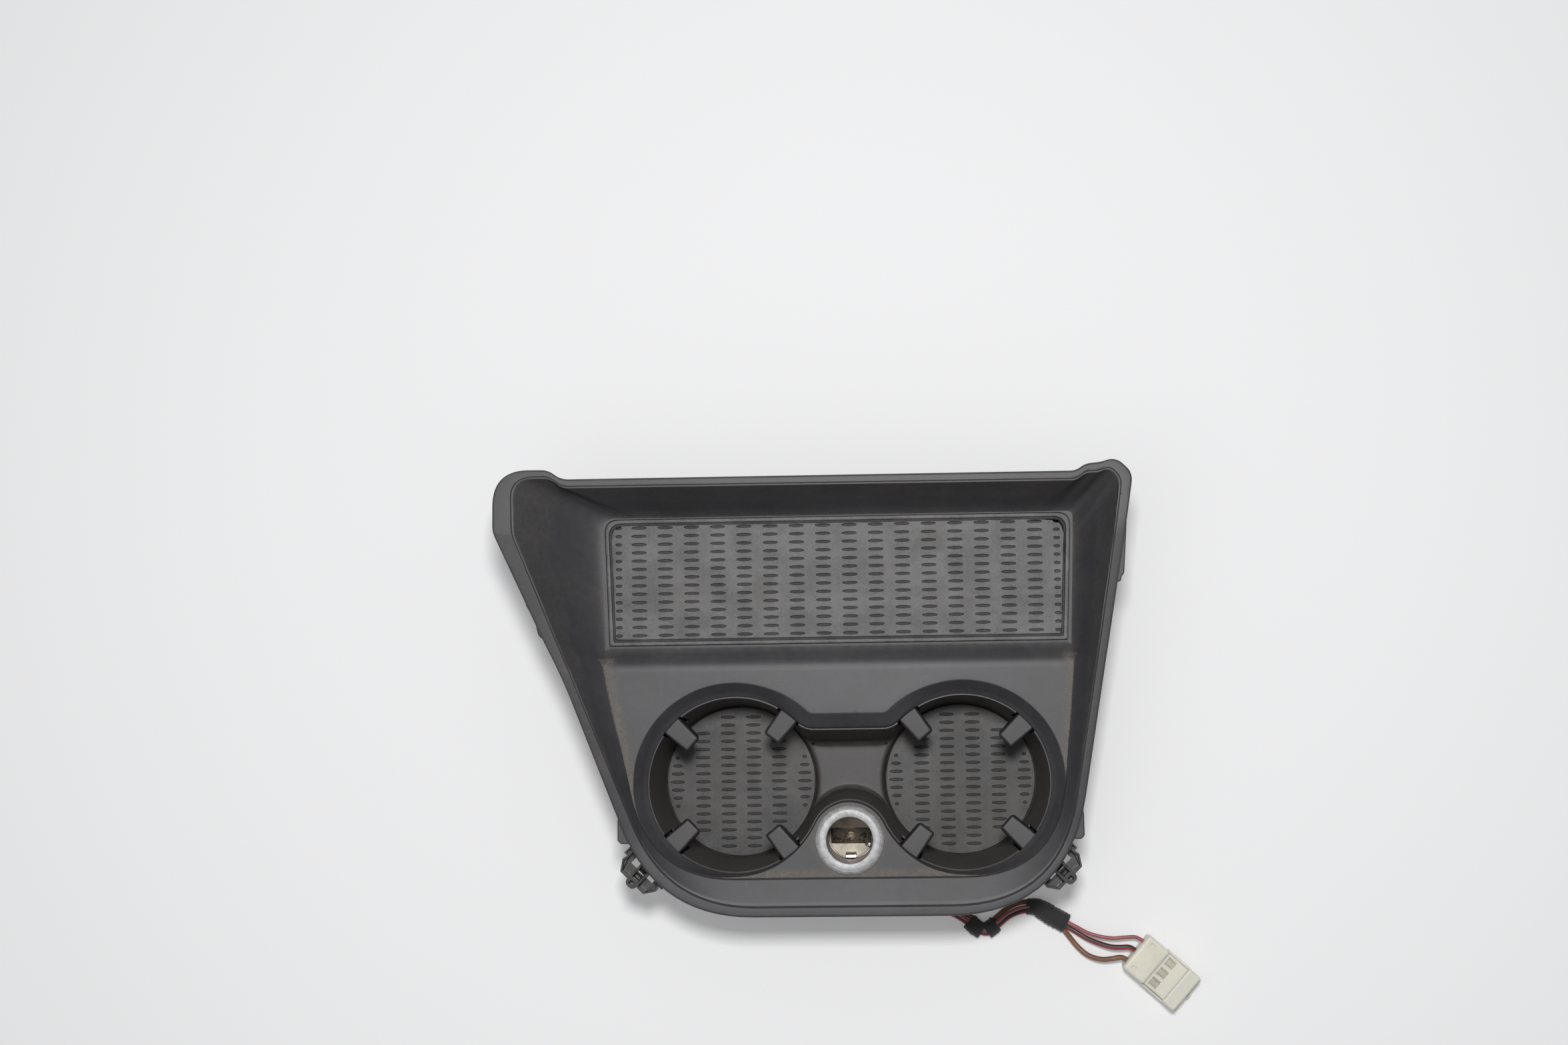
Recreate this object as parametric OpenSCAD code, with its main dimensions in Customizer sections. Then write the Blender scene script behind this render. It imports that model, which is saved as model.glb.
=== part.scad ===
// Centre console cup holder: a trim shell with a storage tray in front, two cup wells with
// sprung gripping fingers behind it, and a 12 volt outlet between the wells.
// X runs across the car, Y towards the storage tray, Z up. The wells stand on Z = 0, and the
// origin lies midway between the two wells.

/* [Cup wells] */
// Distance between the centres of the two wells
well_pitch = 107.4; // [104:0.2:112]
// Radius of a well where the trim ends
well_r = 41.5; // [40.8:0.1:42.2]
// Radius of a well at its floor
well_floor_r = 37; // [36:0.1:38]
// Height of the deck above the surface that the wells stand on
deck_z = 56.3; // [54:0.1:60]
// Height of the bridge floor between the wells
bridge_z = 9; // [7:0.5:16]
// Distance from the well centres to the front wall of the bridge
bridge_y = 25.9; // [24:0.1:27]
// Slope run of the bridge's front wall
bridge_draft = 6.2; // [3:0.1:8]
// Radius that blends the bridge into the wells
bridge_fillet = 12; // [10:0.1:14]
// Wall thickness of the cup insert
insert_wall = 2.2; // [1.8:0.1:2.6]
// Inward step of the insert's top edge from the trim
insert_step = 0.6; // [0.3:0.1:1]

/* [Trim shell] */
// Wall thickness of the trim
trim_wall = 2.6; // [2:0.1:3]
// Height of the flange at the tray end
front_rim_z = 80; // [76:0.5:84]
// Height of the flange at the outlet end
rear_rim_z = 61; // [60:0.1:64]
// Drop of the chamfer around the wells
chamfer_drop = 5.2; // [4:0.1:6]
// Width of the chamfer at the sides of the wells
chamfer_side = 4.2; // [3.6:0.1:4.8]
// Width of the chamfer along the bridge
chamfer_bridge = 6.3; // [5:0.1:7]
// Width of the chamfer at the outlet end of the wells
chamfer_rear = 0.8; // [0.5:0.1:1.2]
// Width of the edge around the outlet boss
chamfer_boss = 0.4; // [0.3:0.1:1]
// Width of the steep lip below the chamfer at the sides of the wells
lip_side = 2.1; // [1.4:0.1:2.6]
// Width of that lip along the bridge
lip_bridge = 0.6; // [0.4:0.1:1.2]
// Width of that lip at the outlet end of the wells
lip_rear = 0.4; // [0.3:0.1:0.8]
// Depth of the lip below the chamfer
edge_drop = 2.4; // [1.8:0.1:3]
// Depth of the skirt below the flange
skirt_drop = 7; // [5:0.5:9]
// Rounding of the flange's edges
rim_round = 1.1; // [0.6:0.1:1.6]
// How hollow the tray's side walls are, 1 being straight
wall_hollow = 1.35; // [1.1:0.05:1.6]
// Height of the tray's edge
tray_z = 51.6; // [50:0.1:53]
// Y of the foot of the step between tray and deck
step_foot_y = 65.4; // [64:0.1:66]
// Run of that step
step_run = 9.5; // [7:0.5:12]

/* [Mats] */
// Thickness of the rubber mats
mat_t = 2.3; // [1.8:0.1:2.4]
// Height of a mat's raised border and ribs over its base
mat_relief = 0.7; // [0.4:0.1:1]
// Width of the tray mat at its far edge
mat_far_w = 220.9; // [216:0.1:221]
// Width of the tray mat at its near edge
mat_near_w = 217.4; // [213:0.1:218]
// Depth of the tray mat
mat_depth = 60; // [57:0.1:60]
// Radius of the tray mat's far corners
mat_corner_r = 6.7; // [4:0.1:9]
// Width of the mat's border bead
bead_w = 1.8; // [1.4:0.1:2.4]
// Width of the groove inside the bead
groove_w = 1; // [0.6:0.1:1.6]
// Length of a dimple
dimple_len = 7.3; // [6:0.1:8.5]
// Width of a dimple
dimple_w = 1.15; // [0.9:0.05:1.4]
// Distance between columns of dimples
dimple_col = 12.5; // [12.2:0.1:12.6]
// Distance between rows of dimples
dimple_row = 3.94; // [3.8:0.02:4]
// Clearance between a mat and its pocket
mat_gap = 0.3; // [0.2:0.05:0.6]

/* [Fingers] */
// Width of a gripping finger
finger_w = 11; // [9.5:0.1:11.6]
// Reach of a finger into the well
finger_reach = 14.2; // [12.5:0.1:15.5]
// Distance from the well's edge to the finger's pivot
pivot_back = 5.8; // [5.4:0.1:6.4]
// Distance from the trim's lower edge to the pivot
pivot_drop = 5; // [4.6:0.1:6]
// Radius of the finger's hub
hub_r = 3.5; // [3.2:0.1:3.8]
// Radius of the pivot pin
pin_r = 1.5; // [1.2:0.05:1.8]
// Running clearance between pin and finger
pin_gap = 0.05; // [0.02:0.01:0.08]
// Depth of a finger at its hub
finger_depth = 9.5; // [8:0.1:10.5]
// Gap on each side of a finger in its slot
slot_gap = 0.7; // [0.5:0.1:1]
// Length of the slot below the pivot
slot_len = 21; // [20:0.5:24]
// Thickness of the ears that hold the pin
ear_t = 2.2; // [1.8:0.1:2.6]
// Diameter of the spring wire
spring_wire = 0.5; // [0.4:0.05:0.55]

/* [Outlet] */
// Distance from the well centres' line to the outlet's axis
outlet_back = 26.2; // [25.6:0.1:26.8]
// Radius of the outlet's bore
bore_r = 10.9; // [10.5:0.05:11.1]
// Wall of the outlet's metal sleeve
sleeve_wall = 0.8; // [0.6:0.05:0.9]
// Radius of the sleeve's flange
sleeve_flange_r = 13.9; // [13.4:0.1:14.2]
// Radius of the fluted ring
ring_r = 15.5; // [15.1:0.1:15.8]
// Number of flutes on the ring
flute_count = 72; // [48:4:80]
// Length of the bore that a plug slides in
bore_len = 30; // [26:0.5:33]
// Relief of the sleeve's wall below that bore
sleeve_relief = 0.4; // [0.2:0.05:0.5]
// Depth of the sleeve below the deck
sleeve_depth = 41; // [38:0.5:43]
// Wall of the barrel that holds the sleeve
barrel_wall = 1.5; // [1.2:0.1:1.6]

/* [Brackets] */
// Length of a corner bracket along the corner
bracket_len = 22; // [20:0.5:24]
// Reach of a corner bracket beyond the trim
bracket_reach = 9; // [8:0.1:10]
// Height of a corner bracket
bracket_h = 9; // [7:0.5:11]
// Wall of a corner bracket
bracket_wall = 1.5; // [1.2:0.1:1.8]

/* [Harness] */
// Diameter of the thick wires
wire_d = 2.6; // [2.2:0.1:2.8]
// Diameter of the thin wire
thin_wire_d = 1.8; // [1.5:0.1:2]
// Width of the connector
plug_w = 20.4; // [19:0.1:22]
// Length of the connector
plug_len = 34; // [32:0.5:36]
// Height of the connector
plug_h = 13; // [12:0.5:14]
// Wall of the connector
plug_wall = 1.3; // [1:0.1:1.5]

/* [Hidden] */
well_x = well_pitch / 2;
edge_z = deck_z - chamfer_drop;
insert_top = edge_z - edge_drop;
insert_r = well_r - insert_step;
step_top_y = step_foot_y - step_run;
sides = [["left", -1], ["right", 1]];

// Corners of the flange's outer edge: X, Y, setback of the rounding.
// The list starts at the left crease and runs round by the outlet end.
outer_corners = [
    [-163.8, 119.5, 3], [-141.4, 69, 4], [-136.6, 59, 4], [-131.4, 47.5, 8], [-91, -61.3, 46],
    [101.3, -61.5, 56], [120.2, 57, 4], [121.7, 66, 4], [132.8, 135.5, 1.5], [133.6, 142, 4],
    [126, 149.4, 4.6], [119, 147.2, 2], [112, 146.6, 2.6], [107.5, 143.4, 2.6],
    [-131.5, 143.6, 3.6], [-137.5, 148.1, 3.4], [-163.6, 148.4, 17]];
// Corners of the flange's inner edge
inner_corners = [
    [-154.1, 118.4, 3], [-134.8, 69, 4], [-130.8, 59, 4], [-125.5, 45.5, 8], [-86, -56.2, 42],
    [97.6, -56.2, 50], [115.6, 57, 4], [117, 66, 4], [127.1, 132.5, 1.5], [127.7, 139.4, 3.2],
    [122.8, 144.6, 3], [118.4, 142.6, 1.6], [112.3, 142.4, 2], [107.8, 139, 2.2],
    [-131.2, 139.5, 3], [-137, 144.2, 3.2], [-154.6, 144.4, 10]];
// Corners of the line where the walls meet the tray and the deck
foot_corners = [
    [-115.2, 112, 3], [-114, 66, 3], [-114.4, 56, 4], [-111.8, 42, 8], [-94.2, -43.2, 40],
    [97.6, -43.2, 44], [106, 56, 4], [105.5, 66, 3], [107, 108, 2], [107.2, 114, 2],
    [107.4, 126.7, 3], [103, 126.7, 0.9], [99, 126.7, 1.5], [92, 126.7, 3],
    [-98, 126.7, 3], [-106, 126.7, 2], [-115.3, 126.7, 6.6]];
corner_steps = 4;
bend_floor = 0.02;

// Height of the flange at a place along Y
function rim_z(y) = rear_rim_z + (front_rim_z - rear_rim_z) * min(1, max(0, (y + 27) / 146));
// Height of the floor at a place along Y: tray, rounded step, deck
function step_share(y) = min(1, max(0, (step_foot_y - y) / step_run));
function ease(s) = s * s * (3 - 2 * s);
function floor_z(y) = tray_z + (deck_z - tray_z) * ease(step_share(y));

function xy(p) = [p[0], p[1]];
function mix(a, b, s) = a + (b - a) * s;
function unit(v) = v / norm(v);
function at_z(p, z) = [p[0], p[1], z];
// Rounds every corner of a closed outline with a parabola between its setback points
function rounded(corners, steps = corner_steps) = [
    for (i = [0:len(corners) - 1])
        let (n = len(corners), c = xy(corners[i]), d = corners[i][2],
             a = c + unit(xy(corners[(i + n - 1) % n]) - c) * d,
             b = c + unit(xy(corners[(i + 1) % n]) - c) * d)
        for (k = [0:steps]) let (s = k / steps) mix(mix(a, c, s), mix(c, b, s), s)];
function ring_mix(a, b, s) = [for (i = [0:len(a) - 1]) mix(a[i], b[i], s)];

// Closed tube of rings that have the same number of points
module loft(rings, closed = true) {
    n = len(rings[0]);
    m = len(rings);
    points = [for (r = rings) each r];
    faces = [for (j = [0:m - (closed ? 1 : 2)]) for (i = [0:n - 1]) for (t = [0, 1])
        let (a = j * n + i, b = j * n + (i + 1) % n,
             c = ((j + 1) % m) * n + (i + 1) % n, d = ((j + 1) % m) * n + i)
        t == 0 ? [a, c, b] : [a, d, c]];
    ends = closed ? [] : [[for (i = [0:n - 1]) i], [for (i = [n - 1:-1:0]) (m - 1) * n + i]];
    polyhedron(points = points, faces = concat(faces, ends), convexity = 8);
}

rim_outer = rounded(outer_corners);
rim_inner = rounded(inner_corners);
foot = rounded(foot_corners);
wall_steps = 4;
flange_mid_w = 5;
// The walls' foot sinks a little into the floor, so that the two join
foot_sink = 1;

// A ring of the wall between the flange's inner edge and its foot, s from 0 to 1
function wall_ring(s, down = 0) = [for (i = [0:len(foot) - 1])
    let (p = mix(rim_inner[i], foot[i], s), top = rim_z(rim_inner[i][1]),
        low = floor_z(foot[i][1]) - foot_sink)
    at_z(p, low + (top - low) * pow(1 - s, wall_hollow) - down)];
function flange_ring(s, down = 0) = [for (i = [0:len(foot) - 1])
    let (p = mix(rim_outer[i], rim_inner[i], s)) at_z(p, rim_z(rim_outer[i][1]) - down)];
function under(s) = trim_wall + 0.3 + 1.8 * 4 * s * (1 - s);

module rim_and_walls() {
    edge = rim_round / flange_mid_w;
    skirt = trim_wall / flange_mid_w;
    loft(concat(
        [flange_ring(0, skirt_drop), flange_ring(0, rim_round), flange_ring(edge)],
        [flange_ring(1 - edge)],
        [for (k = [0:wall_steps]) wall_ring(max(bend_floor, k / wall_steps))],
        [for (k = [wall_steps:-1:1]) wall_ring(k / wall_steps, under(k / wall_steps))],
        [flange_ring(0.9, trim_wall), flange_ring(skirt, trim_wall), flange_ring(skirt, skirt_drop)]));
}

// Outline of the opening at the trim's lower edge, grown outwards by shares of the lip and chamfer
arc_step = 8;
fillet_x = -well_x + sqrt(pow(well_r + bridge_fillet, 2) - pow(bridge_y + bridge_fillet, 2));
fillet_a = atan2(bridge_y + bridge_fillet, fillet_x + well_x);
outlet_gap = norm([well_x, outlet_back]);
boss_r = outlet_gap - well_r;
boss_a = atan2(-outlet_back, well_x);
function blend3(a, b, s) = a + (b - a) * ease(min(1, max(0, s)));
// Width of the chamfer around a well, by the angle from the left well's centre
function chamfer_w(a) =
    a > fillet_a - 1 && a < 100 ? blend3(chamfer_bridge, chamfer_side, (a - fillet_a) / 30) :
    a < 215 ? chamfer_side :
    a < 275 ? blend3(chamfer_side, chamfer_rear, (a - 215) / 60) :
    blend3(chamfer_rear, chamfer_boss, (a - 275) / 50);
lip_boss = lip_rear / 2;
function lip_w(a) =
    a < 100 ? blend3(lip_bridge, lip_side, (a - fillet_a) / 30) :
    a < 275 ? blend3(lip_side, lip_rear, (a - 215) / 60) :
    blend3(lip_rear, lip_boss, (a - 275) / 50);
// The left half of the outline, from the middle of the bridge to the middle of the boss
function half_opening(l, g) = let (wide = l * lip_bridge + g * chamfer_bridge) concat(
    [[0, bridge_y + wide]],
    [for (k = [0:4]) let (a = -90 - k / 4 * (90 - fillet_a), rf = bridge_fillet - wide)
        [fillet_x + rf * cos(a), bridge_y + bridge_fillet + rf * sin(a)]],
    [for (a = [fillet_a + arc_step:arc_step:356 + boss_a]) let (w = l * lip_w(a) + g * chamfer_w(a))
        [-well_x + (well_r + w) * cos(a), (well_r + w) * sin(a)]],
    [for (k = [0:5]) let (a = 180 + boss_a - k / 5 * (90 + boss_a), w = l * lip_boss + g * chamfer_boss)
        [(boss_r - w) * cos(a), -outlet_back + (boss_r - w) * sin(a)]]);
function opening(l, g) = let (h = half_opening(l, g), n = len(h))
    concat(h, [for (i = [n - 2:-1:1]) [-h[i][0], h[i][1]]]);

module opening_cut() {
    over = 0.5;
    lower = opening(0, 0);
    middle = opening(1, 0);
    upper = opening(1, 1 + over / chamfer_drop);
    loft([
        [for (p = lower) at_z(p, insert_top - 1)], [for (p = lower) at_z(p, insert_top + 0.5)],
        [for (p = middle) at_z(p, edge_z)],
        [for (p = upper) at_z(p, deck_z + over)], [for (p = upper) at_z(p, deck_z + 1)]], false);
}

// Edge band that hangs from the deck around the opening
module opening_band() {
    lower = opening(0, 0);
    middle = opening(1, 0);
    out = opening(1, 1);
    t = trim_wall;
    rings = [[for (i = [0:len(out) - 1]) at_z(lower[i] + grow(lower, i) * t, insert_top)],
        [for (i = [0:len(out) - 1]) at_z(middle[i] + grow(lower, i) * t, edge_z - 1)],
        [for (i = [0:len(out) - 1]) at_z(out[i] + grow(lower, i) * t, deck_z - 0.4)]];
    loft(rings, false);
}
function grow(list, i) = let (n = len(list), d = list[(i + 1) % n] - list[(i + n - 1) % n])
    unit([d[1], -d[0]]);

floor_x = 125;
module floor_sheet() {
    steps = 8;
    top = [for (k = [0:steps]) let (y = step_foot_y - k / steps * step_run) [y, floor_z(y)]];
    profile = concat([[130, tray_z]], top, [[-52, deck_z], [-52, deck_z - trim_wall]],
        [[step_top_y - 3, deck_z - trim_wall], [step_foot_y - 3, tray_z - trim_wall - mat_t + 0.6],
         [130, tray_z - trim_wall - mat_t + 0.6]]);
    intersection() {
        translate([-floor_x, 0, 0])
            rotate([90, 0, 90])
                linear_extrude(2 * floor_x)
                    polygon(profile);
        linear_extrude(deck_z + 10)
            offset(delta = 1.3)
                polygon(foot);
    }
}

// Screws that hold the insert under the trim: X, Y
screw_front = well_r + 11;
screw_side = well_x + well_r + 9.5;
screw_rear = outlet_back + boss_r + 4.8;
screw_spots = [[-well_x, screw_front], [well_x, screw_front], [-screw_side, 0], [screw_side, 0],
    [0, -screw_rear]];
screw_r = 1.5;
screw_boss_r = 3.6;
ear_plate = 2.4;
barrel_r = bore_r + sleeve_wall + barrel_wall;
barrel_gap = 0.15;
boss_foot_r = outlet_gap - well_floor_r;
mat_x = (-114.4 + 106.5) / 2;
mat_far_y = 126.2;

// Wings of the skirt that stand out under the flange: outline, top, height
wings = [
    [[[-150, 86], [-145.6, 78.4], [-143.9, 71.3], [-142.4, 69.8], [-138, 69], [-143, 86]], 70.5, 9],
    [[[128.5, 121], [131, 120.2], [129.3, 96], [128, 94.4], [127.6, 92.2], [123, 92], [124, 121]], 73, 10],
    [[[-105.5, -6], [-108.9, -15.6], [-109, -25.2], [-107.4, -26.8], [-101, -26.8], [-102, -6]], 58, 8],
    [[[107.8, -6], [109.4, -15], [109.5, -25.2], [107.9, -26.8], [102, -26.8], [104, -6]], 58, 8]];

// Boss under the deck, flared where it meets the deck
module screw_boss(spot) {
    translate([spot[0], spot[1], insert_top])
        hull() {
            cylinder(r = screw_boss_r, h = 2, $fn = 24);
            translate([0, 0, deck_z - trim_wall - insert_top + 0.4])
                cylinder(r = screw_boss_r + 1, h = 1, $fn = 24);
        }
}
module tray_shell() {
    color([0.19, 0.19, 0.2])
    difference() {
        union() {
            rim_and_walls();
            floor_sheet();
            opening_band();
            for (w = wings)
                hull() {
                    translate([0, 0, w[1] - w[2]])
                        linear_extrude(w[2] - 1)
                            polygon(w[0]);
                    translate([0, 0, w[1] - 1])
                        linear_extrude(1)
                            offset(delta = -0.7)
                                polygon(w[0]);
                }
            for (s = screw_spots)
                screw_boss(s);
        }
        opening_cut();
        translate([0, 0, tray_z - mat_t + mat_relief])
            mat_outline_prism(mat_gap, 10);
        translate([0, -outlet_back, insert_top - 1])
            cylinder(r = barrel_r + barrel_gap, h = 20, $fn = 96);
        for (s = screw_spots)
            translate([s[0], s[1], insert_top - 1])
                cylinder(r = screw_r, h = 6, $fn = 24);
    }
}

function mat_corners(g = 0) = let (f = mat_far_w / 2 + g, n = mat_near_w / 2 + g,
    top = mat_far_y + g, low = mat_far_y - mat_depth - g)
    [[mat_x + f, top, mat_corner_r], [mat_x - f, top, mat_corner_r],
     [mat_x - n + 0.3, low, 0.8], [mat_x + n - 0.7, low, 0.8]];
module mat_outline_prism(g, h) {
    linear_extrude(h)
        polygon(rounded(mat_corners(g)));
}
function dimple(x, y, l, w = dimple_w) = [[x - l / 2, y - w / 2], [x + l / 2, y - w / 2],
    [x + l / 2, y + w / 2], [x - l / 2, y + w / 2]];
// One polygon with holes: the first outline is the border, the others are the holes
module holed(outlines) {
    polygon(points = [for (o = outlines) each o], paths = [for (i = [0:len(outlines) - 1])
        let (start = len([for (j = [0:1:i - 1]) each outlines[j]]))
            [for (k = [0:len(outlines[i]) - 1]) start + k]]);
}

tray_cols = 16;
tray_rows = 14;
tray_dimple_x = -98;
tray_dimple_y = 122.2;
end_dimple_len = 3.2;
end_dimple_out = 10;
function tray_dimples() = concat(
    [for (i = [0:tray_cols - 1]) for (j = [0:tray_rows - 1])
        dimple(tray_dimple_x + i * dimple_col, tray_dimple_y - j * dimple_row, dimple_len)],
    [for (e = [-end_dimple_out, (tray_cols - 1) * dimple_col + end_dimple_out])
        for (j = [0:tray_rows - 1])
            dimple(tray_dimple_x + e, tray_dimple_y - j * dimple_row, end_dimple_len)]);
module tray_mat() {
    base = mat_t - mat_relief;
    color([0.26, 0.26, 0.27])
    translate([0, 0, tray_z - base])
        difference() {
            mat_outline_prism(0, mat_t);
            translate([0, 0, base])
                linear_extrude(mat_t)
                    holed([rounded(mat_corners(-bead_w)), rounded(mat_corners(-bead_w - groove_w))]);
            translate([0, 0, base])
                linear_extrude(mat_t)
                    for (d = tray_dimples())
                        polygon(d);
        }
}

cup_mat_r = well_floor_r - 2 * mat_gap;
cup_cols = 3;
cup_rows = 9;
function cup_dimples() = [for (i = [-cup_cols:cup_cols - 1]) for (j = [-cup_rows:cup_rows])
    let (x = (i + 0.5) * dimple_col, y = j * dimple_row,
         room = sqrt(max(0, pow(cup_mat_r - 1.6, 2) - pow(abs(y) + dimple_w, 2))),
         l = min(dimple_len, 2 * (room - abs(x))))
    if (l > 2) dimple(x, y, l)];
module cup_mat(side) {
    color([0.24, 0.24, 0.24])
    translate([side * well_x, 0, insert_wall]) {
        cylinder(r = cup_mat_r, h = mat_t - mat_relief, $fn = 96);
        translate([0, 0, mat_t - mat_relief])
            linear_extrude(mat_relief)
                difference() {
                    circle(cup_mat_r, $fn = 96);
                    for (d = cup_dimples())
                        polygon(d);
                }
    }
}

// Fingers: side of the well, name, angle about the well's centre
finger_spots = [
    ["left", "outer_front", 137], ["left", "outer_rear", 223],
    ["left", "inner_front", 51.5], ["left", "inner_rear", -51.5],
    ["right", "outer_front", 43], ["right", "outer_rear", -43],
    ["right", "inner_front", 128.5], ["right", "inner_rear", 231.5]];
pivot_r = well_r + pivot_back;
pivot_z = insert_top - pivot_drop;
slot_w = finger_w + 2 * slot_gap;
spring_room = 3.4;
module at_finger(i) {
    spot = finger_spots[i];
    translate([(spot[0] == "left" ? -1 : 1) * well_x, 0, 0])
        rotate([0, 0, spot[2]])
            translate([pivot_r, 0, pivot_z])
                children();
}
// Cylinder along the pivot line
module along_pivot(r, h, from, facets = 48) {
    translate([0, from + h, 0])
        rotate([90, 0, 0])
            cylinder(r = r, h = h, $fn = facets);
}
finger_edge = 1.5;
finger_taper = 0.7;
module finger(i) {
    tip = -pivot_back - finger_reach + finger_edge;
    side = finger_w / 2 - finger_edge;
    tip_side = side - finger_taper;
    draft = 0.3;
    color([0.15, 0.15, 0.16])
    at_finger(i)
        difference() {
            union() {
                hull()
                    for (m = [-1, 1]) {
                        translate([tip, m * (tip_side - draft), hub_r - finger_edge - 0.5])
                            sphere(finger_edge, $fn = 12);
                        translate([tip + 0.7, m * tip_side, -4])
                            sphere(finger_edge, $fn = 12);
                        translate([-1.5, m * (side - draft), hub_r - finger_edge])
                            sphere(finger_edge, $fn = 12);
                        translate([-1.5, m * side, finger_edge - finger_depth])
                            sphere(finger_edge, $fn = 12);
                    }
                along_pivot(hub_r, finger_w - draft, -(finger_w - draft) / 2);
            }
            along_pivot(pin_r + pin_gap, finger_w + 2, -finger_w / 2 - 1);
            along_pivot(hub_r + 0.4, spring_room + 1, finger_w / 2 - spring_room);
        }
}
pin_len = slot_w + 2 * ear_t;
pin_seat = 0.02;
module finger_pin(i) {
    color([0.6, 0.6, 0.62])
    at_finger(i)
        along_pivot(pin_r, pin_len, -pin_len / 2);
}

// Tube of round section swept along points, closed with flat ends
function tangent(p, i) = unit(p[min(i + 1, len(p) - 1)] - p[max(i - 1, 0)]);
function side_of(t) = let (u = cross(t, abs(t[2]) > 0.9 ? [1, 0, 0] : [0, 0, 1])) unit(u);
module sweep(p, r, n) {
    loft([for (i = [0:len(p) - 1])
        let (t = tangent(p, i), u = side_of(t), v = cross(u, t))
            [for (k = [0:n - 1]) let (a = -k * 360 / n) p[i] + r * (cos(a) * u + sin(a) * v)]], false);
}
spring_turns = 3;
module finger_spring(i) {
    wire = spring_wire / 2;
    coil_r = pin_r + 0.25 + wire;
    run = spring_room - 1.2 - spring_wire;
    steps = 7;
    y0 = finger_w / 2 - spring_room + 0.6 + wire;
    coil = [for (k = [0:spring_turns * steps]) let (a = 90 + k * 360 / steps)
        [coil_r * cos(a), y0 + run * k / (spring_turns * steps), coil_r * sin(a)]];
    leg = [coil_r * 1.15, y0, coil_r];
    color([0.55, 0.55, 0.57])
    at_finger(i)
        sweep(concat([leg], coil), wire, 5);
}

// Solid between an upper and a lower circle
module well_cone(side, grow = 0, low = insert_wall, over = 0) {
    slope = (insert_r - well_floor_r) / (insert_top - insert_wall);
    translate([side * well_x, 0, low])
        cylinder(r1 = well_floor_r + grow + slope * (low - insert_wall), r2 = insert_r + grow + slope * over,
            h = insert_top + over - low, $fn = 80);
}
// The boss bites a little into the wells' circles, so that they cross
boss_bite = 0.6;
module boss_cone(grow = 0, low = 0, over = 0) {
    top_r = boss_r + insert_step + boss_bite;
    foot = boss_foot_r + boss_bite;
    slope = (top_r - foot) / (insert_top - insert_wall);
    translate([0, -outlet_back, low])
        cylinder(r1 = foot + grow + slope * (low - insert_wall), r2 = top_r + grow + slope * over,
            h = insert_top + over - low, $fn = 48);
}
bridge_rear = well_r * sin(-boss_a);
// Outline of the bridge between the wells. Its front corners run into the wells' circles.
module bridge_prism(g, low, high, rear) {
    front = bridge_y + g;
    r = bridge_fillet - g;
    bend = [for (a = [0:12:24]) [fillet_x - r * sin(a), front + r * (1 - cos(a))]];
    last = bend[2] + 9 * [-cos(30), sin(30)];
    left = concat([[-well_x + well_r - 8, -rear], [-well_x + well_r - 8, 0], last],
        [bend[2], bend[1], bend[0]]);
    translate([0, 0, low])
        linear_extrude(high - low)
            polygon(concat(left, [for (i = [5:-1:0]) [-left[i][0], left[i][1]]]));
}
foot_r = 7;
module cup_insert() {
    wall = insert_wall;
    color([0.13, 0.12, 0.12])
    difference() {
        union() {
            for (s = sides)
                well_cone(s[1], wall, 0);
            bridge_prism(wall - insert_step, bridge_z - wall, insert_top, bridge_rear);
            boss_cone(0, bridge_z - wall);
            cylinder(r = foot_r, h = bridge_z, $fn = 32);
            translate([-well_x + well_floor_r, -wall / 2, 0])
                cube([2 * (well_x - well_floor_r), wall, bridge_z]);
            for (i = [0:len(finger_spots) - 1])
                finger_ears(i);
            insert_ears();
        }
        for (s = sides)
            well_cone(s[1], 0, insert_wall, 1);
        difference() {
            bridge_prism(-insert_step, bridge_z, insert_top + 1, bridge_rear);
            boss_cone(0, bridge_z - 1, 2);
            bridge_front();
        }
        translate([0, -outlet_back, -1])
            cylinder(r = barrel_r + 0.6, h = insert_top - 4, $fn = 48);
        translate([0, -outlet_back, insert_top - 6])
            cylinder(r = barrel_r + barrel_gap, h = 8, $fn = 48);
        for (i = [0:len(finger_spots) - 1])
            finger_slot(i);
        for (s = screw_spots)
            translate([s[0], s[1], insert_top - ear_plate - 1])
                cylinder(r = screw_r + 0.2, h = ear_plate + 2, $fn = 24);
    }
}
// Sloped front wall of the bridge
module bridge_front() {
    face = bridge_y - insert_step;
    over = 2;
    lean = bridge_draft / (insert_top - bridge_z);
    translate([-30, 0, 0])
        rotate([90, 0, 90])
            linear_extrude(60)
                polygon([[face + 8, bridge_z - 2], [face - bridge_draft - 2 * lean, bridge_z - 2],
                    [face + over * lean, insert_top + over], [face + 8, insert_top + over]]);
}
module finger_ears(i) {
    ear_w = slot_w + 2 * ear_t;
    root = insert_r - pivot_r + 0.4;
    top = insert_top - pivot_z;
    at_finger(i) {
        translate([0, ear_w / 2, 0])
            rotate([90, 0, 0])
                linear_extrude(ear_w)
                    polygon([[root, top - 0.01], [root, -hub_r - 6], [hub_r * 0.7, -hub_r * 0.7], [hub_r, 0],
                        [hub_r, top - 0.01]]);
    }
}
module finger_slot(i) {
    at_finger(i) {
        translate([-pivot_back - 10, -slot_w / 2, -slot_len])
            cube([pivot_back + 10 + 16, slot_w, slot_len + pivot_drop + 1]);
        along_pivot(pin_r + pin_seat, pin_len + 2, -pin_len / 2 - 1, 32);
    }
}
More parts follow.
